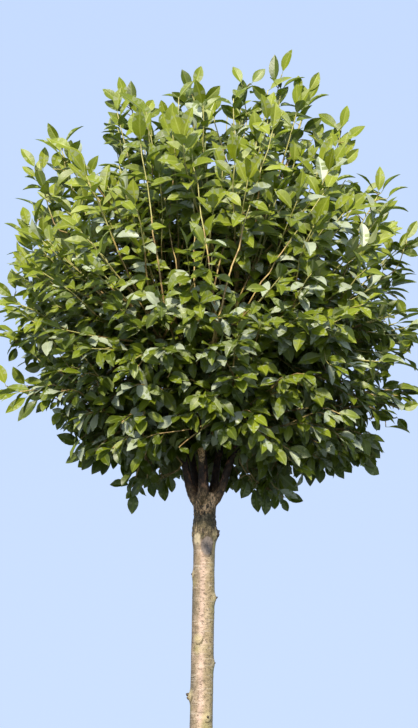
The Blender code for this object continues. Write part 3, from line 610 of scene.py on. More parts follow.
def within_rim(point):
    """Whether a point stands, as seen from the front, inside the uneven outline that the photo shows."""
    seen_side, seen_above = place_in_view(point)
    highest = np.interp(seen_side, *zip(*UPPER_RIM)) - RIM_MARGIN
    lowest = np.interp(seen_side, *zip(*UNDER_RIM)) + 0.5 * RIM_MARGIN
    return lowest < seen_above < highest


def shades_stem(point):
    """Whether a leaf here would keep the sun off the stem below the graft."""
    away = point + SUN_TRAVEL * ((FORK.y - point.y) / SUN_TRAVEL.y) - FORK
    return SUNLIT_LEFT < away.x < SUNLIT_RIGHT and away.z < SUNLIT_TOP


def in_the_open(point):
    """Whether a point stands before or behind one of the gaps in the crown's rim."""
    seen_side, seen_above = place_in_view(point)
    return any(math.hypot(seen_side - x, seen_above - z) < size * OPEN_SHARE for x, z, size in OPEN_PLACES)


def usual_length(point):
    """The usual length of a leaf at a place: larger ones stand at the top."""
    return LEAF_LENGTH * (0.78 + 0.17 * upper_share(point))


def in_window(point):
    """Whether a point is at the front of the crown where the photo shows the shoots bare of leaves."""
    sideways, above, half_width, half_height = BARE_WINDOW
    away = point - FORK
    return away.y < 0 and math.hypot((away.x - sideways) / half_width, (away.z - above) / half_height) < 1


def at_foot(point):
    """Below the crown, round the stem, where no shoot ends."""
    return point.z < CROWN_CENTRE.z and math.hypot(point.x - FORK.x, point.y - FORK.y) < OPEN_FOOT_RADIUS


def crown_tips(axes):
    """Where the source's shoots end, each with its heading."""
    points = []
    for sideways, above in OUTLINE_SHOOTS:
        choices = [FORK + Vector((sideways, depth, above)) for depth in OUTLINE_DEPTHS]
        points.append(max(choices, key=lambda point: min(border_distance(point, axes), CAD_LEAF_LENGTH / 2)))
    for towards in even_directions(TIP_COUNT):
        point = crown_point(towards)
        crowded = any((point - other).length < SHOOT_SPACING for other in points[: len(OUTLINE_SHOOTS)])
        if not at_foot(point) and not crowded:
            points.append(point)
    return [(point, shoot_heading((point - CROWN_CENTRE).normalized())) for point in points]


class Limb:
    """A tapering limb: the points of its centre line, and the radius at each."""

    def __init__(self, name, points, base_radius, tip_radius):
        self.name = name
        self.line = points
        last = len(points) - 1
        self.radii = [base_radius + (tip_radius - base_radius) * i / last for i in range(last + 1)]

    def heading(self):
        return (self.line[-1] - self.line[-2]).normalized()


def main_limb(name, azimuth, elevation):
    outward = direction(azimuth, elevation)
    level = direction(azimuth, 0)
    start = FORK + level * HEAD_SEAT_RADIUS - UP * HEAD_SEAT_DEPTH
    end = FORK + outward * MAIN_LENGTH + UP * 0.012
    lift = MAIN_LENGTH / 3
    points = bezier(start, start + outward * lift, end - (outward + level * 0.12) * lift, end, LIMB_POINTS)
    return Limb("bough_" + name, points, MAIN_RADIUS, FORK_RADIUS)


def leader_limb():
    start = FORK - UP * HEAD_SEAT_DEPTH
    end = FORK + Vector((-0.006, 0.004, LEADER_LENGTH))
    lift = LEADER_LENGTH / 3
    points = bezier(start, start + UP * lift, end - UP * lift, end, LIMB_POINTS)
    return Limb("bough_leader", points, LEADER_RADIUS, FORK_RADIUS)


def branch_limb(name, parent, axis):
    heading = parent.heading()
    start = parent.line[-1] - heading * FORK_RADIUS
    end = FOCUS + axis * MASS_START
    reach = (end - start).length / 3
    leaving = (heading + (end - start).normalized() * 1.4).normalized()
    arriving = (axis + leaving).normalized()
    points = bezier(start, start + leaving * reach, end - arriving * reach, end, LIMB_POINTS)
    return Limb(name, points, BRANCH_RADIUS, TIP_RADIUS)


def plan_limbs():
    """Every bough, and for each mass of foliage the limb that carries it and its axis."""
    limbs, carriers = [leader_limb()], {}
    leader = limbs[0]
    for name, (azimuth, elevation) in MAIN_BOUGHS.items():
        limbs.append(main_limb(name, azimuth, elevation))
    for parent, (name, (azimuth, _)) in zip(limbs[1:], MAIN_BOUGHS.items()):
        for kind, turn, rise in (
            ("rising", RISING_TURN, RISING_ELEVATION),
            ("spreading", SPREADING_TURN, SPREADING_ELEVATION),
        ):
            axis = direction(azimuth + turn, rise)
            limb = branch_limb(f"bough_{name}_{kind}", parent, axis)
            limbs.append(limb)
            carriers[f"foliage_{name}_{kind}"] = (limb, axis)
    for number, azimuth in enumerate(TOP_AZIMUTHS, 1):
        axis = direction(azimuth, TOP_ELEVATION)
        limb = branch_limb(f"bough_top_{number}", leader, axis)
        limbs.append(limb)
        carriers[f"foliage_top_{number}"] = (limb, axis)
    return limbs, carriers


# Meshes from arrays


def add_object(name, data):
    made = bpy.data.objects.new(name, data)
    bpy.context.scene.collection.objects.link(made)
    return made


def apply_modifiers(piece):
    graph = bpy.context.evaluated_depsgraph_get()
    baked = bpy.data.meshes.new_from_object(piece.evaluated_get(graph))
    piece.modifiers.clear()
    piece.data = baked


def vertex_values(mesh, name):
    """The place or the normal of every point of a mesh, one row each."""
    values = np.empty(len(mesh.vertices) * 3, dtype=np.float32)
    mesh.vertices.foreach_get(name, values)
    return values.reshape(-1, 3)


def keep_marks(mesh, marks):
    """Keeps a number for each point under a name that a material reads."""
    for name, values in marks.items():
        layer = mesh.attributes.new(name, "FLOAT", "POINT")
        layer.data.foreach_set("value", values.astype(np.float32))


def ring_quads(rings, sides, first=0):
    """Corner numbers of the faces between rings of points that follow each other."""
    quads = []
    for start in range(first, first + (rings - 1) * sides, sides):
        for side in range(sides):
            a, b = start + side, start + (side + 1) % sides
            quads.append((a, b, b + sides, a + sides))
    return quads


def end_fans(low, foot, high, tip, sides):
    """Corner numbers of the faces from a tube's first ring to its foot and from its last ring to its tip."""
    tris = []
    for side in range(sides):
        after = (side + 1) % sides
        tris += [(low + after, low + side, foot), (high + side, high + after, tip)]
    return tris


def joined_mesh(name, points, faces, materials, slots=None, uvs=None, sharp_deg=None):
    """A mesh object from arrays: points with their UVs, and blocks of equal-sided faces with their slots."""
    mesh = bpy.data.meshes.new(name)
    mesh.vertices.add(len(points))
    mesh.vertices.foreach_set("co", np.asarray(points, dtype=np.float32).ravel())
    corners = np.concatenate([block.ravel() for block in faces])
    sides = np.concatenate([np.full(len(block), block.shape[1]) for block in faces])
    starts = np.concatenate([[0], np.cumsum(sides)[:-1]])
    mesh.loops.add(len(corners))
    mesh.loops.foreach_set("vertex_index", corners.astype(np.int32))
    mesh.polygons.add(len(sides))
    mesh.polygons.foreach_set("loop_start", starts.astype(np.int32))
    for material in materials:
        mesh.materials.append(material)
    if slots is not None:
        mesh.polygons.foreach_set("material_index", np.concatenate(slots).astype(np.int32))
    mesh.update(calc_edges=True)
    mesh.validate()
    if uvs is not None:
        layer = mesh.uv_layers.new(name="UVMap")
        layer.data.foreach_set("uv", np.asarray(uvs, dtype=np.float32)[corners].ravel())
    mesh.shade_smooth()
    if sharp_deg is not None:
        mesh.set_sharp_from_angle(angle=math.radians(sharp_deg))
    return add_object(name, mesh)


def tube_rings(points, radii, sides):
    """Rings of points round a line, carried along without twisting."""
    rings = []
    across = (points[1] - points[0]).orthogonal().normalized()
    for i, (point, radius) in enumerate(zip(points, radii)):
        ahead = (points[min(i + 1, len(points) - 1)] - points[max(i - 1, 0)]).normalized()
        across = (across - ahead * across.dot(ahead)).normalized()
        other = ahead.cross(across)
        for angle in ring_angles(sides):
            rings.append(point + (across * math.cos(angle) + other * math.sin(angle)) * radius)
    return rings


class TubeBundle:
    """Many tubes gathered as one mesh, each closed by a point at its tip and a flat cap at its foot."""

    def __init__(self):
        self.points, self.quads, self.tris, self.uvs = [], [], [], []
        self.quad_slots, self.tri_slots = [], []

    def add(self, line, radii, sides, slot_of):
        """slot_of gives the material slot at a share of the tube's length."""
        first, count = len(self.points), len(line)
        self.points += tube_rings(line, radii, sides)
        length = 0.0
        for previous, point in zip([line[0], *line], line):
            length += (point - previous).length
            self.uvs += [(side / sides, length) for side in range(sides)]
        self.quads += ring_quads(count, sides, first)
        for ring in range(count - 1):
            self.quad_slots += [slot_of(ring / (count - 1))] * sides
        tip = len(self.points)
        self.points += [line[-1] + (line[-1] - line[-2]).normalized() * radii[-1], line[0]]
        self.uvs += [(0.5, length), (0.5, 0)]
        self.tris += end_fans(first, tip + 1, first + (count - 1) * sides, tip, sides)
        self.tri_slots += [slot_of(0.0), slot_of(1.0)] * sides

    def build(self, name, materials):
        faces = [np.array(self.quads), np.array(self.tris)]
        slots = [np.array(self.quad_slots), np.array(self.tri_slots)]
        return joined_mesh(name, [tuple(p) for p in self.points], faces, materials, slots, self.uvs)


# Growth of shoots


class Shoot:
    """A shoot: its line and radii, how long its leafy end is, and its order, 0 for the stem of a mass."""

    def __init__(self, line, base_radius, leafy, order):
        self.line, self.leafy, self.order = line, leafy, order
        self.at_rim = False
        self.placed = None
        self.inner = crown_share(line[-1]) < INNER_SHARE
        last = len(line) - 1
        tip = SHOOT_TIP_RADIUS
        self.radii = [base_radius + (tip - base_radius) * (i / last) ** 0.8 for i in range(last + 1)]

    def cut_back(self, place):
        """Ends the shoot at a place on it, just beyond its last leaf."""
        if place >= self.lengths()[-1] - END_MARGIN:
            return
        i, part = self.part_at(place)
        self.line = self.line[: i + 1] + [self.line[i].lerp(self.line[i + 1], part)]
        self.radii = self.radii[: i + 1] + [SHOOT_TIP_RADIUS]

    def lengths(self):
        total = [0.0]
        for a, b in zip(self.line, self.line[1:]):
            total.append(total[-1] + (b - a).length)
        return total

    def part_at(self, place):
        """Which part of the line a length along it falls in, and at what share of that part."""
        lengths = self.lengths()
        i = max(j for j in range(len(lengths) - 1) if lengths[j] <= place + 1e-9)
        return i, (place - lengths[i]) / max(1e-9, lengths[i + 1] - lengths[i])


def along_line(points, share):
    at = share * (len(points) - 1)
    i = min(int(at), len(points) - 2)
    return points[i].lerp(points[i + 1], at - i), (points[i + 1] - points[i]).normalized()


def lead_in(start, end, heading, pull, count):
    """The way from a place on an earlier shoot to the first point of a line, without that point."""
    reach = (end - start).length
    return bezier(start, start.lerp(end, pull), end - heading * reach * pull, end, count)[:-1]


def is_outline(point):
    return min(math.hypot(point.x - FORK.x - x, point.z - FORK.z - z) for x, z in OUTLINE_SHOOTS) < MM


def shoot_end(point, heading):
    """Where a shoot ends so that its last leaves reach a point."""
    return point - heading * usual_length(point) * SPRAY_SHARE


class Growth:
    """The crown's shoots: the source's stems and twigs, then finer ones that reach for open places."""

    def __init__(self, carriers, rng):
        self.rng = rng
        self.carriers = carriers
        self.names = list(carriers)
        self.axes = [axis for _, axis in carriers.values()]
        self.shoots = {name: [] for name in carriers}
        self.nodes, self.headings, self.radii, self.owners = [], [], [], []

    def owner_of(self, point):
        away = point - FOCUS
        return max(range(len(self.axes)), key=lambda i: self.axes[i].dot(away))

    def keep(self, name, shoot, from_share=0.0):
        """Takes a shoot in, and offers its points for others to grow from."""
        self.shoots[name].append(shoot)
        self.offer(name, shoot, from_share)

    def offer(self, name, limb, from_share):
        count = 3 * len(limb.line)
        for i in range(count):
            share = i / (count - 1)
            if from_share <= share <= 0.9:
                point, heading = along_line(limb.line, share)
                self.nodes.append(tuple(point))
                self.headings.append(tuple(heading))
                self.radii.append(limb.radii[int(share * (len(limb.radii) - 1))])
                self.owners.append(self.names.index(name))

    def grow_main(self):
        """The source's own stems and twigs."""
        tips_of = {name: [] for name in self.names}
        for tip in crown_tips(self.axes):
            tips_of[self.names[self.owner_of(tip[0])]].append(tip)
        for name, (carrier, axis) in self.carriers.items():
            self.offer(name, carrier, 0.2)
            tips = sorted(tips_of[name], key=lambda tip: -(tip[0] - FOCUS).normalized().dot(axis))
            point, heading = tips[0]
            start = carrier.line[-1] - carrier.heading() * STEM_OVERLAP
            end = shoot_end(point, heading)
            reach = (end - start).length / 3
            leaving = start + carrier.heading() * reach
            line = bezier(start, leaving, end - heading * reach, end, 2 * SHOOT_POINTS)
            stem = Shoot(line, TIP_RADIUS, LEAFY_LENGTH, 0)
            stem.at_rim = is_outline(point)
            self.keep(name, stem)
            for point, heading in tips[1:]:
                at_rim = is_outline(point)
                end = shoot_end(point, heading)
                if not at_rim and (in_the_open(end) or below_crown(end)):
                    continue
                off_axis = (end - FOCUS).normalized().angle(axis)
                share = max(0.10, 0.62 - 0.75 * off_axis) + self.rng.uniform(-0.04, 0.04)
                start, _ = along_line(stem.line, share)
                radius = stem.radii[int(share * (len(stem.radii) - 1))]
                shoot = self.reach_out(start, end, heading, min(radius, SHOOT_BASE_RADIUS), 1)
                shoot.at_rim = at_rim
                self.keep(name, shoot, 0.1)

    def reach_out(self, start, end, heading, radius, order, leaving=None):
        reach = (end - start).length
        straight = (end - start).normalized()
        if leaving is None:
            leaving = (straight + UP * (0.12 if end.z < start.z else -0.12)).normalized()
        line = bezier(start, start + leaving * reach * 0.35, end - heading * reach * 0.32, end, SHOOT_POINTS)
        for i in range(1, len(line) - 1):
            line[i] = line[i] + jitter(self.rng, 1) * WOBBLE * reach
        return Shoot(line, radius, LEAFY_LENGTH, order)

    def grow_sprays(self):
        """The measured sprays, each on a stem that grows from the crown."""
        for stem, placed in MEASURED_SPRAYS:
            depth = self.rng.uniform(-SPRAY_DEPTH, SPRAY_DEPTH)
            depths = [depth + 0.02 * i / len(stem) for i in range(len(stem))]
            points = [seen_at(x * MM, z * MM, behind) for (x, z), behind in zip(stem, depths)]
            owner = self.owner_of(points[-1])
            found = self.nearest(points[0], owner, SPRAY_REACH)
            if found is None:
                continue
            start, _, radius = found
            line = lead_in(start, points[0], (points[1] - points[0]).normalized(), 0.35, 6)
            for a, b in zip(points, points[1:]):
                line += [a, a.lerp(b, 0.5)]
            shoot = Shoot(line + [points[-1]], min(radius, SPRAY_RADIUS), 0, 2)
            shoot.placed = []
            self.keep(self.names[owner], shoot, 0.3)
            for row in placed:
                foot = seen_at(row[0] * MM, row[1] * MM, depth + self.rng.uniform(-FOOT_DEPTH, FOOT_DEPTH))
                shoot.placed.append((foot, row, depth))
                self.grow_petiole(shoot, foot, owner)

    def grow_petiole(self, shoot, foot, owner):
        """The thin side twig that holds a leaf whose foot stands away from its shoot."""
        starts = [along_line(shoot.line, 0.35 + 0.65 * i / 30)[0] for i in range(31)]
        start = min(starts, key=lambda at: (at - foot).length + 0.6 * max(0.0, at.z - foot.z + 0.004))
        if (start - foot).length > PETIOLE_SHORTEST:
            middle = start.lerp(foot, 0.5) + UP * 0.1 * (start - foot).length
            petiole = Shoot([start, middle, foot], PETIOLE_RADIUS, 0, 2)
            petiole.placed = []
            self.shoots[self.names[owner]].append(petiole)

    def grow_finer(self):
        """Each empty place is reached from a twig that points its way, and the outline comes first."""
        self.grow_sprays()
        for sideways, above in RIM_SHOOTS:
            point = seen_at(sideways, above, self.rng.uniform(-RIM_SHOOT_DEPTH, RIM_SHOOT_DEPTH))
            heading = shoot_heading((point - CROWN_CENTRE).normalized())
            self.reach_for(point, heading, RIM_REACH[0] + RIM_REACH[1] * upper_share(point), 1, True)
        for foot_side, foot_above, top_side, top_above, depth, radius in TALL_SHOOTS:
            foot = seen_at(foot_side, foot_above, depth)
            top = seen_at(top_side, top_above, depth * 0.94)
            self.grow_tall(foot, top, radius)
        self.grow_skirt()
        self.fill_shells()

    def grow_skirt(self):
        """Shoots that hang a little all round the underside."""
        for number in range(SKIRT_COUNT):
            share = (number + 0.5) / SKIRT_COUNT
            beside = SKIRT_RADII[0] + (SKIRT_RADII[1] - SKIRT_RADII[0]) * math.sqrt(share)
            level = direction(math.degrees(GOLDEN_ANGLE) * number, 0)
            height = CROWN_LOWER * math.sqrt(1 - (beside / CROWN_RADIUS) ** 2)
            point = CROWN_CENTRE + level * beside - UP * (height - 0.02)
            self.reach_for(point, (level * 0.8 - UP * 0.35).normalized(), SKIRT_REACH, 2)

    def fill_shells(self):
        """Shoots to places spread through the crown, fewer where it is thinner, from inside outwards."""
        wanted = []
        for number, (share, count) in enumerate(SHELLS):
            for towards in even_directions(count, 1.7 * number):
                towards = (towards + jitter(self.rng, SHELL_JITTER)).normalized()
                point = crown_point(towards, share + self.rng.uniform(-0.03, 0.03))
                thinning = WINDOW_THINNING if in_window(point) else UPPER_THINNING * upper_share(point)
                if point.y > 0 and abs(point.x - FORK.x) < BACKED_HALF_WIDTH:
                    thinning = 0.0
                thinned = self.rng.random() < thinning
                if not thinned and not at_foot(point) and (point - FOCUS).length > MASS_START - 0.02:
                    outer = share > INNER_SHARE
                    usual = SHELL_REACH[0] + SHELL_REACH[1] * upper_share(point) * outer
                    wanted.append((point, shoot_heading(towards), usual))
        wanted.sort(key=lambda place: (place[0] - FOCUS).length)
        for place in wanted:
            self.reach_for(*place, 2)

    def grow_tall(self, foot, top, radius):
        """A long straight shoot, bare below, that rises from inside the crown to a leafy top."""
        heading = (top - foot).normalized()
        tip = top + heading * TALL_REACH * radius
        while crown_share(tip) > TALL_LIMIT:
            tip -= heading * 0.01
        owner = self.owner_of(tip)
        inward = Vector((-0.3 * (foot.x - FORK.x), 0.16, -0.07))
        found = self.nearest(foot + inward, owner, TALL_FOOT_REACH)
        if found is None:
            return
        line = lead_in(found[0], foot, heading, 0.3, 7)
        for i in range(10):
            line.append(foot.lerp(tip, i / 9) + jitter(self.rng, TALL_WOBBLE))
        shoot = Shoot(line, radius, (tip - top).length * 1.1, 1)
        self.keep(self.names[owner], shoot, 0.6)

    def reach_for(self, point, heading, usual, order, at_rim=False):
        end = shoot_end(point, heading)
        tip = end + heading * usual_length(point) * 0.6
        if not at_rim and (in_the_open(end) or in_the_open(tip) or below_crown(end)):
            return
        found = self.nearest(end, self.owner_of(point), usual)
        if found is not None:
            start, leaving, radius = found
            shoot = self.reach_out(start, end, heading, min(radius * 0.8, FINE_RADIUS), order, leaving)
            shoot.at_rim = at_rim
            self.keep(self.names[self.owner_of(point)], shoot, 0.3)

    def nearest(self, end, owner, usual):
        """Where a shoot of about the usual length can leave an earlier one and point at its own end."""
        nodes, headings = np.array(self.nodes), np.array(self.headings)
        away = np.array(end) - nodes
        far = np.linalg.norm(away, axis=1)
        straight = np.einsum("ij,ij->i", away, headings) / np.maximum(far, 1e-6)
        cost = np.abs(far - usual) + TURN_COST * (1 - straight)
        cost[np.array(self.owners) != owner] += STRANGER_COST
        cost[straight < LEAST_STRAIGHT] += SHARP_COST
        best = int(np.argmin(cost))
        if cost[best] > HIGHEST_COST:
            return None
        heading = Vector(headings[best])
        leaving = (heading * 0.7 + Vector(away[best]).normalized() * 0.6).normalized()
        return Vector(nodes[best]), leaving, self.radii[best]


# Leaves


class LeafSet:
    """Leaves of one mass, as rows of numbers. Those deep inside have a plainer outline."""

    def __init__(self):
        self.rows = {True: [], False: []}

    def add(self, inner, base, along, facing, length, width, arch, fold, twist, slots):
        self.rows[inner].append((*base, *along, *facing, length, width, arch, fold, twist, *slots))


def measured_slots(kind, above, rng):
    """Which green a measured leaf has, on its upper face and on its underside. Leaves seen dark mostly get
    the deepest green, and low in the crown always do: painted shade.
    """
    deep = above < DEEP_BELOW or rng.random() < 0.78
    lightness = rng.random()
    if kind == SEEN_PALE:
        return YOUNG if lightness < 0.2 else FRESH if lightness < 0.75 else MID, UNDER_FRESH
    if kind == SEEN_DEEP:
        return DEEP if deep else MID, UNDER_DEEP
    return MID, UNDER_FRESH


def place_leaf(row, foot, depth, leaves, rng):
    """One leaf of a measured spray, from its foot to its tip."""
    tip_side, tip_above, kind = row[2:]
    tip = seen_at(tip_side * MM, tip_above * MM, depth + rng.uniform(-TIP_DEPTH, TIP_DEPTH))
    chord = (tip - foot).normalized()
    viewer = (EYE - foot).normalized()
    if kind == SEEN_ARCHING:
        facing, arch = UP + viewer * rng.uniform(0.15, 0.45), rng.uniform(30, 55)
    else:
        sideways = chord.cross(viewer) * rng.uniform(-0.55, 0.55)
        facing, arch = viewer + UP * 0.25 + sideways, rng.uniform(4, 18)
    facing = (facing - chord * facing.dot(chord)).normalized()
    arch = math.radians(arch)
    lift = 0.45 * arch
    along = chord * math.cos(lift) + facing * math.sin(lift)
    normal = facing * math.cos(lift) - chord * math.sin(lift)
    length = (tip - foot).length * (1 + 0.12 * arch)
    fold = math.radians(rng.uniform(*MEASURED_FOLD_RANGE))
    width = min(WIDEST_LEAF, KIND_WIDTHS[kind] * MEASURED_WIDTH / length) * rng.uniform(0.94, 1.06)
    slots = measured_slots(kind, tip_above, rng)
    twist = math.radians(rng.uniform(-8, 8))
    leaves.add(False, foot, along, normal, length, width, arch, fold, twist, slots)


def dress_shoot(shoot, leaves, rng, tint):
    """Alternate leaves up the leafy end of a shoot, closing up to a spray of young ones at its tip."""
    total = shoot.lengths()[-1]
    vigour = rng.uniform(*VIGOUR)
    if shoot.at_rim:
        vigour += 0.20 * (1 - upper_share(shoot.line[-1]))
    turn = sideways_turn(shoot) if shoot.at_rim else rng.uniform(0, 2 * math.pi)
    back, number, dressed_to = 0.0, 0, 0.0
    bare = total - min(total * 0.92, shoot.leafy * rng.uniform(0.85, 1.15))
    while total - back > bare:
        place = total - back
        i, part = shoot.part_at(place)
        point = shoot.line[i].lerp(shoot.line[i + 1], part)
        heading = (shoot.line[i + 1] - shoot.line[i]).normalized()
        young = min(1.0, math.exp(-(number - 1) / 1.3))
        leaf = leaf_pose(point, heading, turn, young, rng)
        upper = upper_share(point)
        length = usual_length(point) * vigour * rng.uniform(*LENGTH_SPREAD)
        shares = RIM_SHORTER if shoot.at_rim else SHORTER
        length *= next((share for share in shares if fits(point, leaf[0] * length * share, shoot, number)), 0)
        if length > 0:
            dressed_to = max(dressed_to, place)
            arch = math.radians(rng.uniform(ARCH_LEAST, ARCH_MOST - 22 * upper)) * (1 - 0.6 * young)
            fold = math.radians(rng.uniform(*FOLD_RANGE) + 7 * upper)
            twist = math.radians(rng.uniform(-TWIST_MOST, TWIST_MOST) * (1 - 0.6 * upper))
            width = rng.uniform(*WIDTH_SPREAD) * (1 + 0.03 * upper)
            slots = leaf_slot(tint, young, rng)
            # Some outer leaves get the pale green: a painted highlight for the sun's gloss
            if rng.random() < PAINTED_GLEAM_SHARE * (1 - 0.65 * upper) and not shoot.inner:
                slots = (PAINTED_GLEAM, slots[1])
            leaves.add(shoot.inner, point, *leaf, length, width, arch, fold, twist, slots)
        turn += (math.pi if shoot.at_rim and number < 2 else GOLDEN_ANGLE) + rng.uniform(-0.3, 0.3)
        closing = 1 - 0.85 * math.exp(-number / 1.2)
        back += LEAF_SPACING * (1 + 0.25 * upper) * closing * rng.uniform(0.8, 1.2)
        number += 1
    if shoot.order > 0:
        shoot.cut_back(max(dressed_to + END_MARGIN, 0.3 * total))


def sideways_turn(shoot):
    """The turn about a shoot's end at which a leaf points to the right."""
    heading = (shoot.line[-1] - shoot.line[-2]).normalized()
    across = heading.orthogonal().normalized()
    return math.atan2(heading.cross(across).x, across.x)


def leaf_pose(point, heading, turn, young, rng):
    """Which way a leaf points and faces: young ones stand up, older ones lie level, and the lowest hang."""
    across = heading.orthogonal().normalized()
    outward = across * math.cos(turn) + heading.cross(across) * math.sin(turn)
    upper = upper_share(point)
    widest = WIDEST_ANGLE - 8 * upper
    varied = rng.uniform(-ANGLE_SPREAD, ANGLE_SPREAD) * (1.4 - young)
    opened = math.radians(widest - (widest - YOUNG_ANGLE) * young + varied)
    along = heading * math.cos(opened) + outward * math.sin(opened)
    hanging = max(0.0, 1 - height_share(point) / HANGING_BELOW)
    level = (0.62 - 0.45 * upper) * (1 - young)
    drooping = 0.20 - 0.14 * upper + 0.55 * hanging
    along.z = along.z * (1 - level) - drooping * (1 - young) * rng.uniform(0.2, 1.5)
    along.normalize()
    radial = Vector((point.x - FORK.x, point.y - FORK.y, 0)) / CROWN_RADIUS
    towards = LIGHT_SIDE * (0.22 + 0.48 * upper) + radial * (0.15 + 0.25 * upper)
    loose = 0.45 - 0.15 * upper
    facing = UP * 0.75 + towards + heading * 0.45 + jitter(rng, loose)
    facing = facing - along * facing.dot(along)
    if facing.length < 0.15:
        facing = outward.cross(along)
    return along, facing.normalized()


def fits(base, blade, shoot, number):
    """Whether a leaf stays in the crown, clear of the head of the stem and out of the open places."""
    tip, middle = base + blade, base + blade * 0.5
    if below_crown(tip) or hides_tall_shoot(base + blade * 0.6) or not within_rim(tip):
        return False
    if shoot.at_rim and number < RIM_LEAVES:
        return True
    if any(in_the_open(place) or shades_stem(place) for place in (middle, tip)) or not within_rim(middle):
        return False
    return crown_share(tip) < (OUTLINE_LIMIT if shoot.order < 2 else FINE_LIMIT)


def below_crown(tip):
    """Whether a leaf would hang in front of the boughs, where the photo shows them from below."""
    away = tip - FORK
    beside = math.hypot(away.x, away.y)
    front = max(0.0, -away.y / max(0.01, beside))
    lowest = [HIGHER_IN_FRONT * front + LOWEST_BEHIND]
    lowest += [height for radius, height in CLEAR_RINGS if beside < radius]
    if abs(away.x) < FRONT_GAP[0] and away.y < 0:
        lowest.append(FRONT_GAP[1])
    return away.z < max(lowest)


def leaf_slot(tint, young, rng):
    """Which green a leaf has, on its upper face and on its underside: the spray's, or paler near its tip."""
    level = tint + 0.20 * young + rng.uniform(-0.10, 0.10)
    upper = min(YOUNG, max(DEEP, int(level * 4)))
    return upper, UNDER_DEEP if level < 0.55 else UNDER_FRESH


def leaf_points(rows, outline):
    """Points and UVs of leaves: each is a closed blade, folded along its midrib and arching back."""
    base, along, facing = rows[:, 0:3], rows[:, 3:6], rows[:, 6:9]
    length, width, arch, fold, twist = (rows[:, i] for i in range(9, 14))
    side = np.cross(facing, along)
    rings = len(outline)
    points = np.zeros((len(rows), rings * 4 + 1, 3))
    uvs = np.zeros((len(rows), rings * 4 + 1, 2))
    fold_cos, fold_sin = np.cos(fold)[:, None], np.sin(fold)[:, None]
    centre = base.copy()
    before = 0.0
    for ring, (t, half_width) in enumerate((*outline, (1.0, 0.0))):
        middle = (arch * ((t + before) / 2) ** 1.2)[:, None]
        step = ((t - before) * length)[:, None]
        centre = centre + (along * np.cos(middle) - facing * np.sin(middle)) * step
        before = t
        if ring == rings:
            points[:, -1] = centre
            uvs[:, -1] = (0.5, 1.0)
            break
        angle = (arch * t**1.2)[:, None]
        normal = facing * np.cos(angle) + along * np.sin(angle)
        roll = (twist * t)[:, None]
        turned = side * np.cos(roll) + normal * np.sin(roll)
        raised = normal * np.cos(roll) - side * np.sin(roll)
        half = (half_width * length * width)[:, None]
        wave = (0.07 + 0.30 * np.abs(twist))[:, None] * np.sin(9.0 * t + 40 * twist)[:, None] * half
        thick = LEAF_THICKNESS / 2 + PETIOLE_THICKENING * (t < 0.15)
        first = ring * 4
        points[:, first] = centre + turned * half * fold_cos + raised * (half * fold_sin + wave)
        points[:, first + 1] = centre + raised * thick
        points[:, first + 2] = centre - turned * half * fold_cos + raised * (half * fold_sin - wave)
        points[:, first + 3] = centre - raised * thick
        uvs[:, first : first + 4, 0] = (0.0, 0.5, 1.0, 0.5)
        uvs[:, first : first + 4, 1] = t
    return points.reshape(-1, 3), uvs.reshape(-1, 2)


def leaf_mesh(name, leaves, materials):
    """All the leaves of a mass as one mesh."""
    points, uvs, faces, slots = [], [], [], []
    first = 0
    for inner, outline in ((False, LEAF_OUTLINE), (True, PLAIN_OUTLINE)):
        if not leaves.rows[inner]:
            continue
        rows = np.array(leaves.rows[inner])
        made, made_uvs = leaf_points(rows, outline)
        points.append(made)
        uvs.append(made_uvs)
        upper, under = rows[:, 14].astype(int)[:, None], rows[:, 15].astype(int)[:, None]
        each = len(outline) * 4 + 1
        offset = first + (np.arange(len(rows)) * each)[:, None, None]
        for corners, is_upper in leaf_faces(len(outline)):
            faces.append((corners[None] + offset).reshape(-1, corners.shape[1]))
            slots.append(np.where(is_upper[None], upper, under).ravel())
        first += len(made)
    points, uvs = np.concatenate(points), np.concatenate(uvs)
    return joined_mesh(name, points, faces, materials, slots, uvs, sharp_deg=30)


def leaf_faces(rings):
    """Corner numbers of one blade, and for each face whether it is on the upper side."""
    last, tip = (rings - 1) * 4, rings * 4
    upper = [side < 2 for side in range(4)]
    tris = [(last + side, last + (side + 1) % 4, tip) for side in range(4)]
    tris += [(2, 1, 0), (3, 2, 0)]
    quads = (np.array(ring_quads(rings, 4)), np.array(upper * (rings - 1)))
    return quads, (np.array(tris), np.array([*upper, True, False]))


# Materials


def new_material(name, roughness=0.6):
    made = bpy.data.materials.new(name)
    made.use_nodes = True
    shader = made.node_tree.nodes["Principled BSDF"]
    shader.inputs["Roughness"].default_value = roughness
    return made, made.node_tree, shader


def add_node(tree, kind, **settings):
    node = tree.nodes.new(kind)
    for key, value in settings.items():
        setattr(node, key, value)
    return node


def math_node(tree, operation, first, second=None, clamp=False):
    node = add_node(tree, "ShaderNodeMath", operation=operation, use_clamp=clamp)
    for socket, value in zip(node.inputs, (first, second)):
        if value is None:
            continue
        if isinstance(value, (int, float)):
            socket.default_value = value
        else:
            tree.links.new(value, socket)
    return node.outputs[0]


def times(tree, first, second):
    return math_node(tree, "MULTIPLY", first, second)


def plus(tree, first, second):
    return math_node(tree, "ADD", first, second)


def object_place(tree):
    return add_node(tree, "ShaderNodeTexCoord").outputs["Object"]


def mark_value(tree, name):
    return add_node(tree, "ShaderNodeAttribute", attribute_name=name).outputs["Fac"]


def painted(tree, under, mask, strength, colour):
    """A colour laid over another where a mask is, at a strength."""
    return mix_colour(tree, times(tree, mask, strength), under, colour)


def mix_colour(tree, factor, first, second, blend="MIX"):
    node = add_node(tree, "ShaderNodeMix", data_type="RGBA", blend_type=blend)
    for socket, value in ((node.inputs[0], factor), (node.inputs[6], first), (node.inputs[7], second)):
        if isinstance(value, (int, float)):
            socket.default_value = value
        elif isinstance(value, tuple):
            socket.default_value = (*value, 1)
        else:
            tree.links.new(value, socket)
    return node.outputs[2]


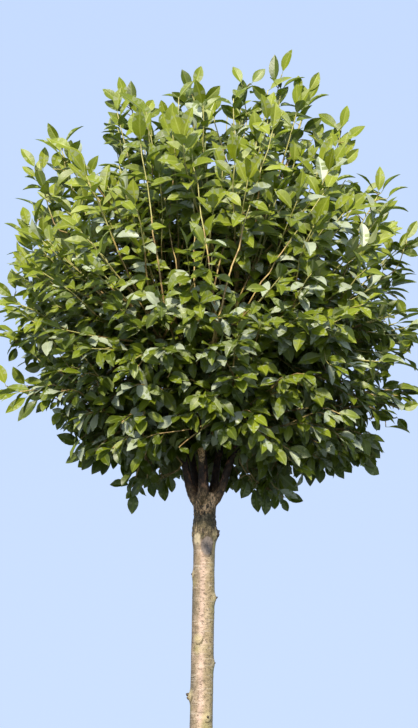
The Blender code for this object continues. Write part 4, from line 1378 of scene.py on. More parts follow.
def noise_value(tree, vector, scale, detail=4.0, roughness=0.55):
    node = add_node(tree, "ShaderNodeTexNoise")
    node.inputs["Scale"].default_value = scale
    node.inputs["Detail"].default_value = detail
    node.inputs["Roughness"].default_value = roughness
    tree.links.new(vector, node.inputs["Vector"])
    return node.outputs["Fac"]


def ramp(tree, factor, stops, interpolation="LINEAR"):
    """Stops are (position, grey or colour)."""
    node = add_node(tree, "ShaderNodeValToRGB")
    node.color_ramp.interpolation = interpolation
    while len(node.color_ramp.elements) < len(stops):
        node.color_ramp.elements.new(0.5)
    for element, (position, colour) in zip(node.color_ramp.elements, stops):
        element.position = position
        element.color = (colour, colour, colour, 1) if isinstance(colour, float) else (*colour, 1)
    tree.links.new(factor, node.inputs[0])
    return node.outputs[0]


def give_surface(tree, shader, colour, height, distance, strength):
    """Gives a shader its colour and a relief."""
    tree.links.new(colour, shader.inputs["Base Color"])
    node = add_node(tree, "ShaderNodeBump")
    node.inputs["Distance"].default_value = distance
    node.inputs["Strength"].default_value = strength
    tree.links.new(height, node.inputs["Height"])
    tree.links.new(node.outputs[0], shader.inputs["Normal"])


def leaf_material(name, colour, vein, through, roughness, ior):
    """A green with paler veins, sunk above and raised underneath, that lets some light through."""
    made, tree, shader = new_material(name, roughness)
    is_under = "under" in name
    split = add_node(tree, "ShaderNodeSeparateXYZ")
    tree.links.new(add_node(tree, "ShaderNodeUVMap", uv_map="UVMap").outputs[0], split.inputs[0])
    across = math_node(tree, "ABSOLUTE", math_node(tree, "SUBTRACT", split.outputs["X"], 0.5))
    slanted = math_node(tree, "SUBTRACT", split.outputs["Y"], times(tree, across, 0.42))
    rib = math_node(tree, "FRACT", times(tree, slanted, 9.0))
    side_vein = ramp(tree, rib, ((0.0, 1.0), (0.16, 0.0), (0.84, 0.0), (1.0, 1.0)), "EASE")
    midrib = ramp(tree, across, ((0.0, 1.0), (0.05, 0.7), (0.10, 0.0)))
    veins = math_node(tree, "MAXIMUM", midrib, times(tree, side_vein, 0.34))
    place = object_place(tree)
    shade = ramp(tree, noise_value(tree, place, 26, 2.0), ((0.3, 0.80), (0.7, 1.22)))
    base = mix_colour(tree, 1.0, colour, shade, "MULTIPLY")
    tinted = painted(tree, base, veins, 0.65 if is_under else 0.60, vein)
    shader.inputs["IOR"].default_value = ior
    quilted = noise_value(tree, place, 85, 1.0)
    relief = plus(tree, times(tree, veins, 0.4 if is_under else -0.4), quilted)
    give_surface(tree, shader, tinted, relief, 0.0008, 0.6)
    translucent = add_node(tree, "ShaderNodeBsdfTranslucent")
    translucent.inputs["Color"].default_value = (*through, 1)
    mixed = add_node(tree, "ShaderNodeMixShader")
    mixed.inputs[0].default_value = LEAF_THROUGH
    output = next(node for node in tree.nodes if node.type == "OUTPUT_MATERIAL")
    tree.links.new(shader.outputs[0], mixed.inputs[1])
    tree.links.new(translucent.outputs[0], mixed.inputs[2])
    tree.links.new(mixed.outputs[0], output.inputs[0])
    return made


def leaf_materials():
    """Four greens of upper faces, from deep to young, dealt out partly as painted shade and sun, two of
    undersides, and a pale green that is a painted highlight for the gloss of a sunlit leaf.
    """
    greens = (
        ("leaf_deep", (0.078, 0.106, 0.003), (0.22, 0.27, 0.04), (0.27, 0.36, 0.008), 0.40, 1.58),
        ("leaf_mid", (0.144, 0.181, 0.005), (0.34, 0.38, 0.06), (0.41, 0.53, 0.01), 0.42, 1.56),
        ("leaf_fresh", (0.200, 0.240, 0.009), (0.42, 0.45, 0.09), (0.52, 0.62, 0.02), 0.44, 1.53),
        ("leaf_young", (0.270, 0.307, 0.024), (0.50, 0.53, 0.14), (0.60, 0.68, 0.03), 0.46, 1.50),
        ("leaf_under_deep", (0.225, 0.262, 0.105), (0.42, 0.46, 0.22), (0.34, 0.44, 0.02), 0.70, 1.35),
        ("leaf_under_fresh", (0.330, 0.362, 0.175), (0.50, 0.53, 0.30), (0.56, 0.66, 0.04), 0.70, 1.35),
        # A pale grey-green base colour: a painted highlight, the gloss of sunlit leaves
        ("leaf_painted_gleam", (0.420, 0.460, 0.310), (0.52, 0.56, 0.40), (0.50, 0.60, 0.06), 0.42, 1.60),
    )
    return [leaf_material(*row) for row in greens]


def twig_material(name, low, high, scale=60):
    made, tree, shader = new_material(name, 0.55)
    place = object_place(tree)
    colour = ramp(tree, noise_value(tree, place, scale, 5.0), ((0.35, low), (0.65, high)))
    give_surface(tree, shader, colour, noise_value(tree, place, scale * 8, 3.0), 0.0008, 0.5)
    return made


# Bark


def stem_radius(depth, azimuth, scars):
    radius = between(STEM_RADII, depth)
    above = STEM_HEIGHT - depth
    lobes = 1 + 0.35 * math.cos(FLARE_LOBES * azimuth + 0.6)
    radius += FLARE_RADIUS * lobes * math.exp(-above / FLARE_HEIGHT)
    for at, towards, proud in scars:
        turn = turn_from(azimuth, towards)
        away = math.hypot((depth - at) / SCAR_SPREAD, turn * radius / SCAR_SPREAD)
        radius += proud * math.exp(-away * away)
    return radius


def bowed_centre(depth):
    """The stem's centre with the slight bow that the photo shows."""
    return stem_centre(depth) + Vector((STEM_BOW * math.sin(math.pi * depth / STEM_HEIGHT), 0, 0))


def build_stem(material):
    """The stem from the compost to the head, with the bark's relief in its surface."""
    scars = all_scars()
    upper = np.arange(0.0, BARK_LOWER, BARK_STEP)
    lower = np.arange(BARK_LOWER, STEM_HEIGHT - 0.002, BARK_LOWER_STEP)
    depths = np.concatenate([upper, lower, [STEM_CUT]])[::-1]
    points = []
    for depth in depths:
        centre = bowed_centre(depth)
        for azimuth in ring_angles(BARK_SIDES):
            level = level_at(azimuth)
            point = centre + level * stem_radius(depth, azimuth, scars)
            points.append(point + level * bark_relief(point, depth))
    for share, drop in HEAD_RINGS:
        centre = stem_centre(0) + UP * HEAD_DOME * drop
        for azimuth in ring_angles(BARK_SIDES):
            radius = stem_radius(0, azimuth, scars) * share
            points.append(centre + level_at(azimuth) * radius)
    rings = len(depths) + len(HEAD_RINGS)
    foot, top = len(points), len(points) + 1
    points += [bowed_centre(STEM_CUT), stem_centre(0) + UP * HEAD_DOME]
    tris = end_fans(0, foot, foot - BARK_SIDES, top, BARK_SIDES)
    faces = [np.array(ring_quads(rings, BARK_SIDES)), np.array(tris)]
    return joined_mesh("stem", [tuple(p) for p in points], faces, [material])


def bark_noise(point, around, upward):
    """Noise at a point, with its own scale round the stem and along it."""
    return noise.noise(Vector((point.x * around, point.y * around, point.z * upward)))


def bark_relief(point, depth):
    """How far the bark stands proud: rough plates at the graft, flat rings of pores below it."""
    graft = graft_share(depth)
    plates = bark_noise(point, 170, 80) + 0.7 * (0.5 - abs(bark_noise(point, 260, 120)))
    plates += 0.5 * bark_noise(point, 420, 300)
    waves, rings = bark_noise(point, 35, 22), bark_noise(point, 30, 420)
    return graft * PLATE_RELIEF * plates + WAVE_RELIEF * waves + (1 - graft) * RING_RELIEF * rings


def graft_share(depth):
    """1 where the scaly bark of the graft is, 0 well away from it."""
    if depth < GRAFT_FROM:
        return 0.45 + 0.55 * depth / GRAFT_FROM
    return max(0.0, 1 - max(0.0, depth - GRAFT_TO) / GRAFT_FADE)


def mark_bark(stem):
    """Keeps for each point of the bark how far it belongs to each kind of place on it, and where light and
    shade are painted on it.
    """
    places = vertex_values(stem.data, "co")
    depth = FORK.z - places[:, 2]
    centres = np.array([bowed_centre(max(0.0, min(STEM_HEIGHT, d))) for d in depth])
    azimuth = np.arctan2(places[:, 1] - centres[:, 1], places[:, 0] - centres[:, 0])
    # How far each point is turned from the side where the painted highlight runs
    from_highlight_side = abs(azimuth - math.radians(HIGHLIGHT_SIDE) + 2 * math.pi * (azimuth < 0))
    marks = {
        "graft": np.array([graft_share(d) if d > 0 else 0.8 for d in depth]),
        "wound": spot(depth, azimuth, *WOUND),
        "painted_sun_patch": spot(depth, azimuth, *PAINTED_SUN_PATCH),
        "knot": np.zeros(len(depth)),
        "core": np.zeros(len(depth)),
        "film": np.zeros(len(depth)),
        # Painted shade down both edges and a painted highlight down the sunlit front
        "left_edge_shade": np.maximum(0.0, np.cos(azimuth - math.radians(LEFT_SHADE_SIDE))) ** 2.0,
        "bloom_and_highlight": np.maximum(0.0, 1 - from_highlight_side / 0.42),
        "right_edge_shade": np.maximum(0.0, np.cos(azimuth - math.radians(RIGHT_SHADE_SIDE))) ** 1.7,
    }
    for at, towards, proud in all_scars():
        size = 0.6 + proud / 0.006
        across, down = away_from(depth, azimuth, at, towards, 0.016 * size, 0.62 * size)
        far = np.maximum(0.01, np.hypot(across, down))
        # Painted shade: a dark crescent round the lower side of each scar, where the proud scar throws its
        # shade
        lower_side = np.clip(1.6 * (0.6 * across + 0.8 * down) / far, 0, 1)
        crescent = np.maximum(0.0, 1 - abs(far - 0.60) / 0.19) * lower_side
        film = spot(depth, azimuth, at + 0.017 * size, towards, 0.024, 1.2)
        for name, values in (("knot", 1 - far), ("core", crescent), ("film", film)):
            marks[name] = np.maximum(marks[name], values)
    keep_marks(stem.data, marks)


def away_from(depth, azimuth, at, towards_deg, half_height, half_turn):
    """How far points of the stem lie to the right of a spot's middle and below it, as shares of its size."""
    return turn_from(azimuth, towards_deg) / half_turn, (depth - at) / half_height


def spot(*place):
    """A soft spot on the stem: 1 at its middle and 0 outside."""
    return np.maximum(0.0, 1 - np.hypot(*away_from(*place)))


def edged(tree, mark, wander, low, high):
    """A mark with a crisp but uneven edge."""
    uneven = plus(tree, mark, times(tree, math_node(tree, "SUBTRACT", wander, 0.5), 0.7))
    return ramp(tree, uneven, ((low, 0.0), (high, 1.0)))


def stretched(tree, place, rise):
    """Coordinates that stretch a pattern along the stem, or flatten it."""
    mapping = add_node(tree, "ShaderNodeMapping")
    mapping.inputs["Scale"].default_value = (1, 1, rise)
    tree.links.new(place, mapping.inputs["Vector"])
    return mapping.outputs[0]


def crust_colour(tree, place, light):
    """The scaly bark of the graft: brown plates with paler edges and an olive cast. Its colours are scaled by
    light as painted light and shade: the stem keeps a dark crust where the sun reaches it, and the boughs'
    crust is made far lighter and warmer where the crown's shadow falls.
    """
    crusty = noise_value(tree, stretched(tree, place, 0.5), 190, 5.0, 0.75)
    stops = ((0.40, (0.020, 0.014, 0.008)), (0.51, (0.074, 0.057, 0.034)), (0.64, (0.340, 0.275, 0.185)))
    stops = [(at, tuple(share * value for share, value in zip(light, colour))) for at, colour in stops]
    olive = ramp(tree, noise_value(tree, place, 45, 3.0), ((0.45, 0.0), (0.60, 0.40)))
    return crusty, mix_colour(tree, olive, ramp(tree, crusty, stops), (0.078, 0.070, 0.024))


def bark_material():
    """Pale beige bark with pores and knots, scaly at the graft, with light and shade painted in: shade down
    both edges, greyer on the left and yellower on the right, a pink highlight down the sunlit front, a patch
    of sunlight below the graft, and shade on the lower side of each scar.
    """
    made, tree, shader = new_material("bark_stem", 0.68)
    place = object_place(tree)
    names = ("graft", "wound", "painted_sun_patch", "knot", "core", "film", "bloom_and_highlight", "left_edge_shade", "right_edge_shade")
    marks = {name: mark_value(tree, name) for name in names}
    mottle = noise_value(tree, place, 40, 7.0, 0.68)
    uneven = noise_value(tree, place, 22, 4.0)
    wander = noise_value(tree, place, 140, 4.0)
    long_cloud = noise_value(tree, stretched(tree, place, 0.25), 70, 4.0)
    pores = noise_value(tree, stretched(tree, place, 1.7), 160, 4.0, 0.6)

    def marked(name, unevenness, low, high):
        return edged(tree, marks[name], unevenness, low, high)

    stops = ((0.34, (0.150, 0.104, 0.060)), (0.50, (0.362, 0.256, 0.158)), (0.65, (0.625, 0.458, 0.342)))
    plain = ramp(tree, mottle, stops)
    # Painted shade, darker and greyer, down the left edge of the stem
    left_shade_strength = ramp(tree, uneven, ((0.35, 0.50), (0.65, 1.00)))
    plain = painted(tree, plain, marks["left_edge_shade"], left_shade_strength, (0.116, 0.094, 0.053))
    # Painted shade, darker and yellower, down the right edge of the stem
    right_shade_strength = ramp(tree, uneven, ((0.35, 0.95), (0.65, 0.55)))
    plain = painted(tree, plain, marks["right_edge_shade"], right_shade_strength, (0.310, 0.246, 0.110))
    # A paler pink band down the front that faces the sun: a painted highlight
    plain = painted(tree, plain, marked("bloom_and_highlight", long_cloud, 0.20, 0.80), 0.50, (0.590, 0.405, 0.325))
    pore_mask = ramp(tree, pores, ((0.560, 0.0), (0.620, 1.0)))
    plain = painted(tree, plain, pore_mask, 0.72, (0.130, 0.085, 0.048))
    rings = noise_value(tree, stretched(tree, place, 16), 26, 3.0, 0.5)
    rings = ramp(tree, rings, ((0.58, 0.0), (0.66, 0.36)))
    plain = mix_colour(tree, rings, plain, (0.660, 0.560, 0.440))
    plain = painted(tree, plain, marked("film", uneven, 0.20, 0.95), 0.55, (0.330, 0.300, 0.095))
    # The stem's graft bark is kept dark: painted shade where the sun falls on it
    crusty, crust = crust_colour(tree, place, (1.18, 1.09, 0.93))
    colour = mix_colour(tree, marked("graft", wander, 0.30, 0.65), plain, crust)
    # A pale patch just below the graft on the left: painted sunlight
    colour = painted(tree, colour, marked("painted_sun_patch", wander, 0.20, 0.45), 0.80, (0.560, 0.460, 0.300))
    stops = ((0.35, (0.150, 0.118, 0.098)), (0.65, (0.255, 0.205, 0.175)))
    healed = ramp(tree, noise_value(tree, place, 75, 4.0), stops)
    colour = painted(tree, colour, marked("wound", wander, 0.04, 0.12), 0.55, (0.070, 0.046, 0.028))
    colour = mix_colour(tree, marked("wound", uneven, 0.12, 0.26), colour, healed)
    colour = painted(tree, colour, marked("knot", uneven, 0.10, 0.70), 0.62, (0.520, 0.425, 0.220))
    # Painted shade in a dark crescent on the lower side of each scar
    colour = painted(tree, colour, marked("core", wander, 0.38, 0.60), 0.80, (0.110, 0.080, 0.034))
    fine = noise_value(tree, stretched(tree, place, 2.6), 420, 4.0)
    height = times(tree, crusty, plus(tree, marks["graft"], 0.15))
    height = plus(tree, height, times(tree, fine, 0.30))
    height = math_node(tree, "SUBTRACT", height, times(tree, pore_mask, 0.22))
    give_surface(tree, shader, colour, height, 0.0024, 0.85)
    return made


def build_stubs(material):
    """The short dark ends of twigs that were cut from the stem, each a little bent and uneven at its cut."""
    scars = all_scars()
    bundle = TubeBundle()
    stubs = list(STUBS) + [(at + 0.001, towards, 0.0028, 0.0014) for at, towards, _ in scars[len(SCARS) :]]
    for depth, towards, radius, proud in stubs:
        outward = direction(towards, 18)
        inside = stem_radius(depth, math.radians(towards), scars) - 0.004
        root = bowed_centre(depth) + direction(towards, 0) * inside
        line = [root + outward * (0.004 + proud) * i / 5 + UP * 0.0006 * (i / 5) ** 2 for i in range(6)]
        bundle.add(line, [radius * taper for taper in STUB_TAPER], 12, lambda share: 0)
    for i, point in enumerate(bundle.points):
        shift = [0.0011 * noise.noise(point * 330 + Vector((7 * k, 0, 0))) for k in range(3)]
        bundle.points[i] = point + Vector(shift)
    return bundle.build("bark_stubs", [material])


def skin_line(limb):
    """A limb's line and radii for the skin: a main bough bows outward and swells where it leaves the head."""
    last = len(limb.line) - 1
    line, radii = [], []
    is_main = limb.name.removeprefix("bough_") in MAIN_BOUGHS
    swelling, fading = MAIN_SWELLING if is_main else BRANCH_SWELLING
    away = limb.line[-1] - limb.line[0]
    outward = Vector((away.x, away.y, 0)).normalized()
    for i, (point, radius) in enumerate(zip(limb.line, limb.radii)):
        share = i / last
        bow = BOUGH_BOW * math.sin(math.pi * share**0.6) if is_main else 0.0
        line.append(point + outward * bow)
        radii.append(radius * (1 + swelling * math.exp(-i / fading)))
    line.insert(0, line[0] - (line[1] - line[0]).normalized() * limb.radii[0])
    radii.insert(0, radii[0])
    return line, radii


def collar_line():
    """The top of the stem, taken into the boughs' skin so that the fork is one form."""
    scars = all_scars()
    line, radii = [], []
    for i in range(12):
        depth = COLLAR_DEPTH * (1 - i / 10)
        around = [stem_radius(max(0.0, depth), math.radians(15 * j), scars) for j in range(24)]
        line.append(stem_centre(0) - UP * depth if depth < 0 else stem_centre(depth))
        radii.append(sum(around) / len(around) + 0.0012 * min(1, i / 3) - 0.0015 * (i == 0))
    return line, radii


def build_boughs(limbs, material):
    """The boughs as one skin, blended where they leave the head and each other."""
    bundle = bmesh.new()
    for line, radii in [skin_line(limb) for limb in limbs] + [collar_line()]:
        made = [bundle.verts.new(p) for p in tube_rings(line, radii, BOUGH_SIDES)]
        for corners in ring_quads(len(line), BOUGH_SIDES):
            bundle.faces.new([made[corner] for corner in corners])
        bundle.faces.new(list(reversed(made[:BOUGH_SIDES])))
        bundle.faces.new(made[-BOUGH_SIDES:])
    boughs = add_object("boughs", bpy.data.meshes.new("boughs"))
    bundle.to_mesh(boughs.data)
    bundle.free()
    remesh = boughs.modifiers.new("skin", "REMESH")
    remesh.mode = "VOXEL"
    remesh.voxel_size = SKIN_VOXEL
    smooth = boughs.modifiers.new("blend", "SMOOTH")
    smooth.factor = 0.5
    smooth.iterations = 8
    apply_modifiers(boughs)

    skin = boughs.data
    places, normals = vertex_values(skin, "co"), vertex_values(skin, "normal")
    relief = np.array([noise.noise(Vector(p) * 150) + 0.5 * noise.noise(Vector(p) * 420) for p in places])
    depth = FORK.z + 0.05 - places[:, 2]
    rough = 0.25 + 0.75 * np.clip(depth / 0.06, 0, 1)
    places = places + normals * (relief * SKIN_RELIEF * rough)[:, None]
    skin.vertices.foreach_set("co", places.astype(np.float32).ravel())
    skin.materials.clear()
    skin.materials.append(material)
    skin.shade_smooth()
    skin.update()
    # Bare wood at the fork, which the material also uses to paint sunflecks
    bare_wood_and_sunfleck = np.zeros(len(places))
    for sideways, behind, above, size in BARE_WOOD_AND_SUNFLECKS:
        away = (places - np.array(FORK) - (sideways, behind, above)) / (1, 1, 2)
        bare_wood_and_sunfleck = np.maximum(bare_wood_and_sunfleck, 1 - np.linalg.norm(away, axis=1) / size)
    keep_marks(skin, {"graft": np.clip((depth - 0.01) / 0.065, 0, 1), "bare_wood_and_sunfleck": bare_wood_and_sunfleck})
    return boughs


def bough_material():
    """Dark red-brown bark, its darkness partly the bark's own colour and partly painted shade under the
    crown, that turns to the graft's scaly bark at the fork, with bare wood that also paints sunflecks.
    """
    made, tree, shader = new_material("bark_bough", 0.6)
    place = object_place(tree)
    grain = noise_value(tree, place, 85, 5.0, 0.65)
    # The bark's own red-brown, darkened further as painted shade under the crown
    stops = ((0.34, (0.014, 0.008, 0.005)), (0.52, (0.046, 0.024, 0.013)), (0.68, (0.130, 0.068, 0.037)))
    # The graft bark on the boughs is made about three times lighter and warmer: painted light in the crown's
    # shadow
    crusty, crust = crust_colour(tree, place, (2.9, 2.2, 1.6))
    peeling = ramp(tree, noise_value(tree, stretched(tree, place, 0.6), 48, 4.0), ((0.57, 0.0), (0.63, 0.65)))
    plain = mix_colour(tree, peeling, ramp(tree, grain, stops), (0.480, 0.235, 0.130))
    graft = edged(tree, mark_value(tree, "graft"), noise_value(tree, place, 60, 3.0), 0.15, 0.90)
    torn = noise_value(tree, stretched(tree, place, 0.4), 330, 4.0, 0.7)
    torn = ramp(tree, torn, ((0.42, 0.06), (0.54, 1.00)))
    # Bare wood in bright orange, which also paints the sunflecks falling on the fork through the crown
    bare = edged(tree, mark_value(tree, "bare_wood_and_sunfleck"), noise_value(tree, place, 190, 4.0), 0.12, 0.50)
    colour = painted(tree, mix_colour(tree, graft, plain, crust), bare, torn, (0.990, 0.640, 0.350))
    height = plus(tree, crusty, noise_value(tree, place, 340, 4.0))
    give_surface(tree, shader, colour, height, 0.0020, 0.7)
    return made


# Pot and compost


def pot_radius(height):
    return POT_BASE_RADIUS + (POT_TOP_RADIUS - POT_BASE_RADIUS) * height / POT_HEIGHT


def pot_profile():
    """The pot's section from the middle of its underside, up its outside, over the rim and down inside."""
    rim_low = POT_HEIGHT - RIM_DEPTH
    outer_low, outer_rim = pot_radius(rim_low), pot_radius(POT_HEIGHT) + RIM_PROUD
    inner_rim = pot_radius(POT_HEIGHT) - POT_WALL
    inner_floor = pot_radius(POT_FLOOR) - POT_WALL
    profile = [(share * POT_BASE_RADIUS, 0.0) for share in FLOOR_SHARES]
    profile += [(POT_BASE_RADIUS - 0.005, 0.0), (POT_BASE_RADIUS - 0.0015, 0.002), (POT_BASE_RADIUS, 0.006)]
    for i in range(1, WALL_STEPS):
        height = 0.006 + (rim_low - 0.014) * i / WALL_STEPS
        profile.append((pot_radius(height), height))
    profile += [(outer_low, rim_low - 0.007), (outer_low + 0.0015, rim_low - 0.003)]
    profile += [(outer_low + RIM_PROUD * 0.6, rim_low - 0.001), (outer_low + RIM_PROUD, rim_low + 0.003)]
    for i in range(1, 9):
        height = rim_low + 0.003 + (RIM_DEPTH - 0.012) * i / 9
        profile.append((outer_low + RIM_PROUD + (outer_rim - outer_low - RIM_PROUD) * i / 9, height))
    half, lip_low = (outer_rim - inner_rim) / 2, POT_HEIGHT - LIP_HEIGHT
    for i in range(9):
        angle = math.pi * i / 8
        squared = math.copysign(abs(math.cos(angle)) ** 0.6, math.cos(angle))
        height = lip_low + LIP_HEIGHT * math.sin(angle) ** 0.6
        profile.append((inner_rim + half + half * squared, height))
    for i in range(1, 14):
        height = lip_low - (lip_low - POT_FLOOR) * i / 13
        profile.append((pot_radius(height) - POT_WALL, height))
    profile += [(inner_floor * share, POT_FLOOR) for share in reversed(FLOOR_SHARES)]
    return profile


def build_pot(material):
    """The pot, turned on a wheel: faint throwing rings, small chips at the rim and holes in its floor."""
    rng = random.Random(SEED + 1)
    chips = []
    for _ in range(CHIP_COUNT):
        on_top = rng.random() < 0.6
        edge = POT_TOP_RADIUS + RIM_PROUD
        height = POT_HEIGHT if on_top else POT_HEIGHT - RIM_DEPTH + 0.002
        chips.append((direction(rng.uniform(0, 360), 0) * edge + UP * height, rng.uniform(0.004, 0.010)))
    profile = pot_profile()
    points = []
    for radius, height in profile:
        for azimuth in ring_angles(POT_SIDES):
            level = level_at(azimuth)
            point = level * radius + UP * height
            if 0.01 < height:
                point -= level * 0.0012 * (0.5 + 0.5 * noise.noise(level * 1.3 + UP * height * 6))
                point -= level * 0.0005 * (0.5 + 0.5 * noise.noise(UP * height * 190 + level * 0.4))
            for at, size in chips:
                near = max(0.0, 1 - (point - at).length / (size * (1 + 0.4 * noise.noise(point * 220))))
                rise = 0.7 if height > POT_HEIGHT - 0.02 else -0.3
                point -= (level * 0.7 + UP * rise) * near * size * 0.45
            points.append(tuple(point))
    under, inside = len(points), len(points) + 1
    points += [(0, 0, 0), (0, 0, POT_FLOOR)]
    tris = end_fans(0, under, under - POT_SIDES, inside, POT_SIDES)
    faces = [np.array(ring_quads(len(profile), POT_SIDES)), np.array(tris)]
    pot = joined_mesh("flower_pot", points, faces, [material])
    drill_holes(pot)
    pot.data.set_sharp_from_angle(angle=math.radians(50))
    return pot


def drill_holes(pot):
    bundle = bmesh.new()
    size = {"radius1": HOLE_RADIUS, "radius2": HOLE_RADIUS, "depth": 3 * POT_FLOOR}
    for i in range(HOLE_COUNT):
        centre = direction(360 * (i + 0.5) / HOLE_COUNT, 0) * HOLE_CIRCLE_RADIUS
        made = bmesh.ops.create_cone(bundle, cap_ends=True, segments=24, **size)
        bmesh.ops.translate(bundle, vec=centre, verts=made["verts"])
    drill = add_object("drill", bpy.data.meshes.new("drill"))
    bundle.to_mesh(drill.data)
    bundle.free()
    cut = pot.modifiers.new("holes", "BOOLEAN")
    cut.operation = "DIFFERENCE"
    cut.solver = "EXACT"
    cut.object = drill
    apply_modifiers(pot)
    bpy.data.objects.remove(drill)


def build_compost(material):
    """Crumbly compost, a little domed and lower against the pot's wall, down to the pot's floor."""
    edge = pot_radius(SOIL_TOP) - POT_WALL - SOIL_GAP
    around = [direction(360 * side / SOIL_SIDES, 0) for side in range(SOIL_SIDES)]
    points = []
    for ring in range(SOIL_RINGS + 1):
        share = (ring + 0.35) / (SOIL_RINGS + 0.35)
        sunk = SOIL_CROWNING * share**2.2 + 0.002
        settled = 1 - max(0.0, (share - 0.9) / 0.1)
        for level in around:
            point = level * edge * share
            crumbs = noise.noise(point * 70) + 0.6 * noise.noise(point * 190) + 0.3 * noise.noise(point * 420)
            point.z = SOIL_TOP - sunk + 0.0030 * crumbs * (0.4 + 0.6 * settled)
            points.append(tuple(point))
    low = POT_FLOOR + SOIL_GAP
    first = len(points)
    points += [tuple(level * (pot_radius(low) - POT_WALL - SOIL_GAP) + UP * low) for level in around]
    top, bottom = len(points), len(points) + 1
    points += [(0, 0, SOIL_TOP - 0.002), (0, 0, low)]
    quads = [(a, d, c, b) for a, b, c, d in ring_quads(SOIL_RINGS + 2, SOIL_SIDES)]
    tris = end_fans(first, bottom, 0, top, SOIL_SIDES)
    return joined_mesh("compost", points, [np.array(quads), np.array(tris)], [material])


def build_crumbs(materials):
    """Bark chips and pale grit lying on the compost, each a small uneven stone."""
    rng = random.Random(SEED + 2)
    points, tris, slots = [], [], []
    edge = pot_radius(SOIL_TOP) - POT_WALL - 0.008
    for _ in range(CRUMB_COUNT):
        spread = edge * math.sqrt(rng.uniform(0.03, 1))
        at = direction(rng.uniform(0, 360), 0) * spread
        if at.length < STEM_CLEARANCE:
            continue
        share = spread / (pot_radius(SOIL_TOP) - POT_WALL)
        at.z = SOIL_TOP - SOIL_CROWNING * share**2.2 - 0.002 + 0.0030 * noise.noise(at * 70)
        gritty = rng.random() < 0.12
        long = rng.uniform(0.0016, 0.0026) if gritty else rng.uniform(0.003, 0.0075)
        size = Vector((long, long * rng.uniform(0.4, 0.9), long * rng.uniform(0.25, 0.5)))
        turn = Euler((rng.uniform(-0.5, 0.5), rng.uniform(-0.5, 0.5), rng.uniform(0, 6.28))).to_matrix()
        first = len(points)
        for x, y, z in CRUMB_FORM:
            corner = Vector((x * size.x, y * size.y, z * size.z)) * rng.uniform(0.75, 1.2)
            points.append(tuple(at + turn @ corner))
        tris += [tuple(first + corner for corner in face) for face in CRUMB_FACES]
        slots += [1 if gritty else 0] * len(CRUMB_FACES)
    made = joined_mesh("compost_chips", points, [np.array(tris)], materials, [np.array(slots)])
    made.data.set_sharp_from_angle(angle=math.radians(35))
    return made


def pot_material():
    """Fired clay: cloudy orange, a pale bloom of salts, darker where it stays damp, and fine sand."""
    made, tree, shader = new_material("terracotta", 0.82)
    place = object_place(tree)
    rise = add_node(tree, "ShaderNodeSeparateXYZ")
    tree.links.new(place, rise.inputs[0])
    rise = rise.outputs["Z"]
    stops = ((0.30, (0.400, 0.150, 0.075)), (0.55, (0.520, 0.215, 0.115)), (0.78, (0.600, 0.300, 0.185)))
    colour = ramp(tree, noise_value(tree, place, 7, 5.0, 0.6), stops)
    salt = noise_value(tree, place, 15, 6.0, 0.72)
    higher = ramp(tree, rise, ((0.02, 0.9), (0.18, 0.25), (0.33, 0.75), (0.40, 0.45)))
    bloom_and_highlight = ramp(tree, salt, ((0.50, 0.0), (0.70, 0.8)))
    colour = painted(tree, colour, bloom_and_highlight, higher, (0.680, 0.545, 0.440))
    damp = ramp(tree, rise, ((0.0, 0.8), (0.10, 0.0)))
    colour = painted(tree, colour, damp, salt, (0.170, 0.085, 0.050))
    sand = ramp(tree, noise_value(tree, place, 420, 2.0), ((0.64, 0.0), (0.70, 0.5)))
    colour = mix_colour(tree, sand, colour, (0.250, 0.110, 0.065))
    rings = noise_value(tree, stretched(tree, place, 14), 12, 3.0)
    height = plus(tree, noise_value(tree, place, 260, 5.0), times(tree, rings, 1.5))
    give_surface(tree, shader, colour, height, 0.0009, 0.6)
    return made


def soil_material():
    made, tree, shader = new_material("compost", 0.95)
    place = object_place(tree)
    grain = noise_value(tree, place, 150, 6.0, 0.7)
    stops = ((0.32, (0.016, 0.011, 0.008)), (0.55, (0.055, 0.036, 0.024)), (0.75, (0.130, 0.088, 0.058)))
    cloudy = ramp(tree, noise_value(tree, place, 16), ((0.3, 0.7), (0.7, 1.3)))
    colour = mix_colour(tree, 1.0, ramp(tree, grain, stops), cloudy, "MULTIPLY")
    give_surface(tree, shader, colour, grain, 0.004, 0.9)
    return made


def crumb_materials():
    """Dark bark chips, and the pale grit among them."""
    return [
        twig_material("bark_chips", (0.050, 0.028, 0.016), (0.190, 0.110, 0.062), 220),
        twig_material("pale_grit", (0.480, 0.460, 0.420), (0.720, 0.700, 0.650), 220),
    ]


# Studio


def build_studio():
    floor = add_object("floor", bpy.data.meshes.new("floor"))
    edge = [direction(360 * i / FLOOR_SIDES, 0) * FLOOR_RADIUS for i in range(FLOOR_SIDES)]
    floor.data.from_pydata(edge, [], [range(FLOOR_SIDES)])
    pale, _, shader = new_material("floor_pale", 0.9)
    shader.inputs["Base Color"].default_value = (0.42, 0.43, 0.45, 1)
    floor.data.materials.append(pale)
    floor.visible_diffuse = False
    floor.visible_glossy = False
    floor.visible_transmission = False

    world = bpy.data.worlds.new("studio")
    bpy.context.scene.world = world
    world.use_nodes = True
    tree = world.node_tree
    background = tree.nodes["Background"]
    split = add_node(tree, "ShaderNodeSeparateXYZ")
    tree.links.new(add_node(tree, "ShaderNodeTexCoord").outputs["Generated"], split.inputs[0])
    rise = math_node(tree, "MULTIPLY_ADD", split.outputs["Z"], 0.5)
    rise.node.inputs[2].default_value = 0.5
    stops = ((0.30, (0.10, 0.11, 0.06)), (0.47, (0.52, 0.64, 0.86)), (1.0, (0.38, 0.51, 0.80)))
    tree.links.new(ramp(tree, rise, stops), background.inputs["Color"])
    background.inputs["Strength"].default_value = 1.20

    place_sun("key", 6.0, 2.5, (1.0, 0.94, 0.82), SUN_TRAVEL)
    place_sun("glow", 1.0, 55, (1.0, 0.97, 0.90), Vector((0.10, 0.95, -0.62)))


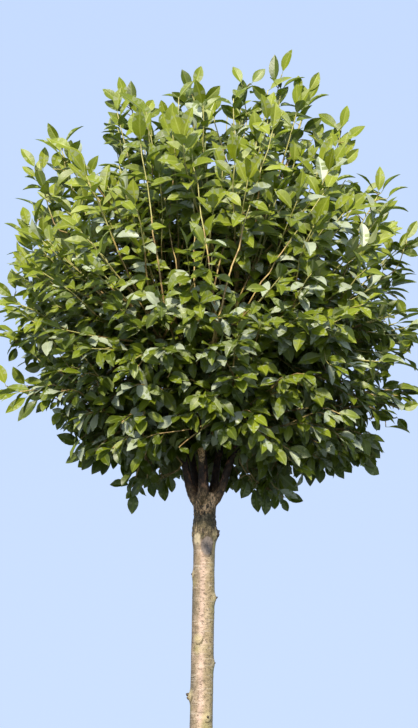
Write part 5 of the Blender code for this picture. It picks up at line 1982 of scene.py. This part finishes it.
def place_sun(name, energy, spread_deg, colour, travelling):
    light = bpy.data.lights.new(name, "SUN")
    light.energy = energy
    light.angle = math.radians(spread_deg)
    light.color = colour
    add_object(name, light).rotation_euler = travelling.to_track_quat("-Z", "Y").to_euler()


def build_camera():
    data = bpy.data.cameras.new("camera")
    data.sensor_width = 36
    data.lens = 36 * CAMERA_DISTANCE / VIEW_HEIGHT
    camera = add_object("camera", data)
    camera.location = EYE
    camera.rotation_euler = (LOOK - EYE).to_track_quat("-Z", "Y").to_euler()
    bpy.context.scene.camera = camera


def spray_tint(tip, lit, rng):
    """How light a shoot's leaves are: a random spread of tone, and painted light and shade: deepest inside
    the crown and round the fork where shade falls, lightest two thirds of the way up and at the sides where
    the sun falls, and a little deeper again at the very top.
    """
    aside = tip.x - FORK.x
    # Lighter two thirds of the way up and at the sides: painted sunlight
    tint = 0.12 + 0.10 * min(1.0, lit / 0.35) + 0.30 * math.exp(-(((lit - 0.66) / 0.24) ** 2))
    tint += 0.35 * max(0.0, abs(aside) - 0.2)
    # Deeper inside the crown, painted shade, with a random spread of tone
    tint += 0.25 * (crown_share(tip) - 0.75) + rng.uniform(-0.20, 0.20)
    # Deeper round the fork: painted shade of the crown
    tint -= 0.5 * max(0.0, 1 - math.hypot(aside, tip.z - FORK.z - 0.05) / 0.13)
    return tint - 0.6 * max(0.0, lit - 0.78)


def main():
    rng = random.Random(SEED)
    limbs, carriers = plan_limbs()
    build_camera()
    build_studio()
    bpy.context.scene.view_settings.view_transform = "Standard"

    stem = build_stem(bark_material())
    mark_bark(stem)
    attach(stem, "root")
    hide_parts("trunk")
    stubs = build_stubs(twig_material("stub_wood", (0.022, 0.014, 0.009), (0.110, 0.074, 0.038), 150))
    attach(stubs, "root")
    boughs = build_boughs(limbs, bough_material())
    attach(boughs, "root")
    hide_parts(*[limb.name for limb in limbs])

    pot = build_pot(pot_material())
    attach(pot, "root")
    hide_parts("pot")
    compost = build_compost(soil_material())
    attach(compost, "root")
    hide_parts("soil")
    crumbs = build_crumbs(crumb_materials())
    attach(crumbs, "root")

    growth = Growth(carriers, rng)
    growth.grow_main()
    growth.grow_finer()
    greens = leaf_materials()
    wood = [
        twig_material("twig_brown", (0.190, 0.115, 0.038), (0.520, 0.370, 0.125)),
        twig_material("twig_green", (0.270, 0.245, 0.060), (0.480, 0.430, 0.145)),
    ]
    for name, shoots in growth.shoots.items():
        bundle, leaves = TubeBundle(), LeafSet()
        for shoot in shoots:
            lit = (shoot.line[-1].z - FORK.z) / LIT_HEIGHT
            tint = spray_tint(shoot.line[-1], lit, rng)
            if shoot.placed is None:
                dress_shoot(shoot, leaves, rng, tint)
            for foot, row, depth in shoot.placed or ():
                place_leaf(row, foot, depth, leaves, rng)
            sides = STEM_SIDES if shoot.order == 0 else TWIG_SIDES
            green_from = GREEN_FROM[shoot.order] if lit > GREEN_ABOVE else 1.1
            bundle.add(shoot.line, shoot.radii, sides, lambda share, limit=green_from: int(share > limit))
        twigs = bundle.build(name.replace("foliage", "twigs"), wood)
        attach(twigs, "root")
        blades = leaf_mesh(name.replace("foliage", "leaves"), leaves, greens)
        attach(blades, "root")
        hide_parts(name)


main()
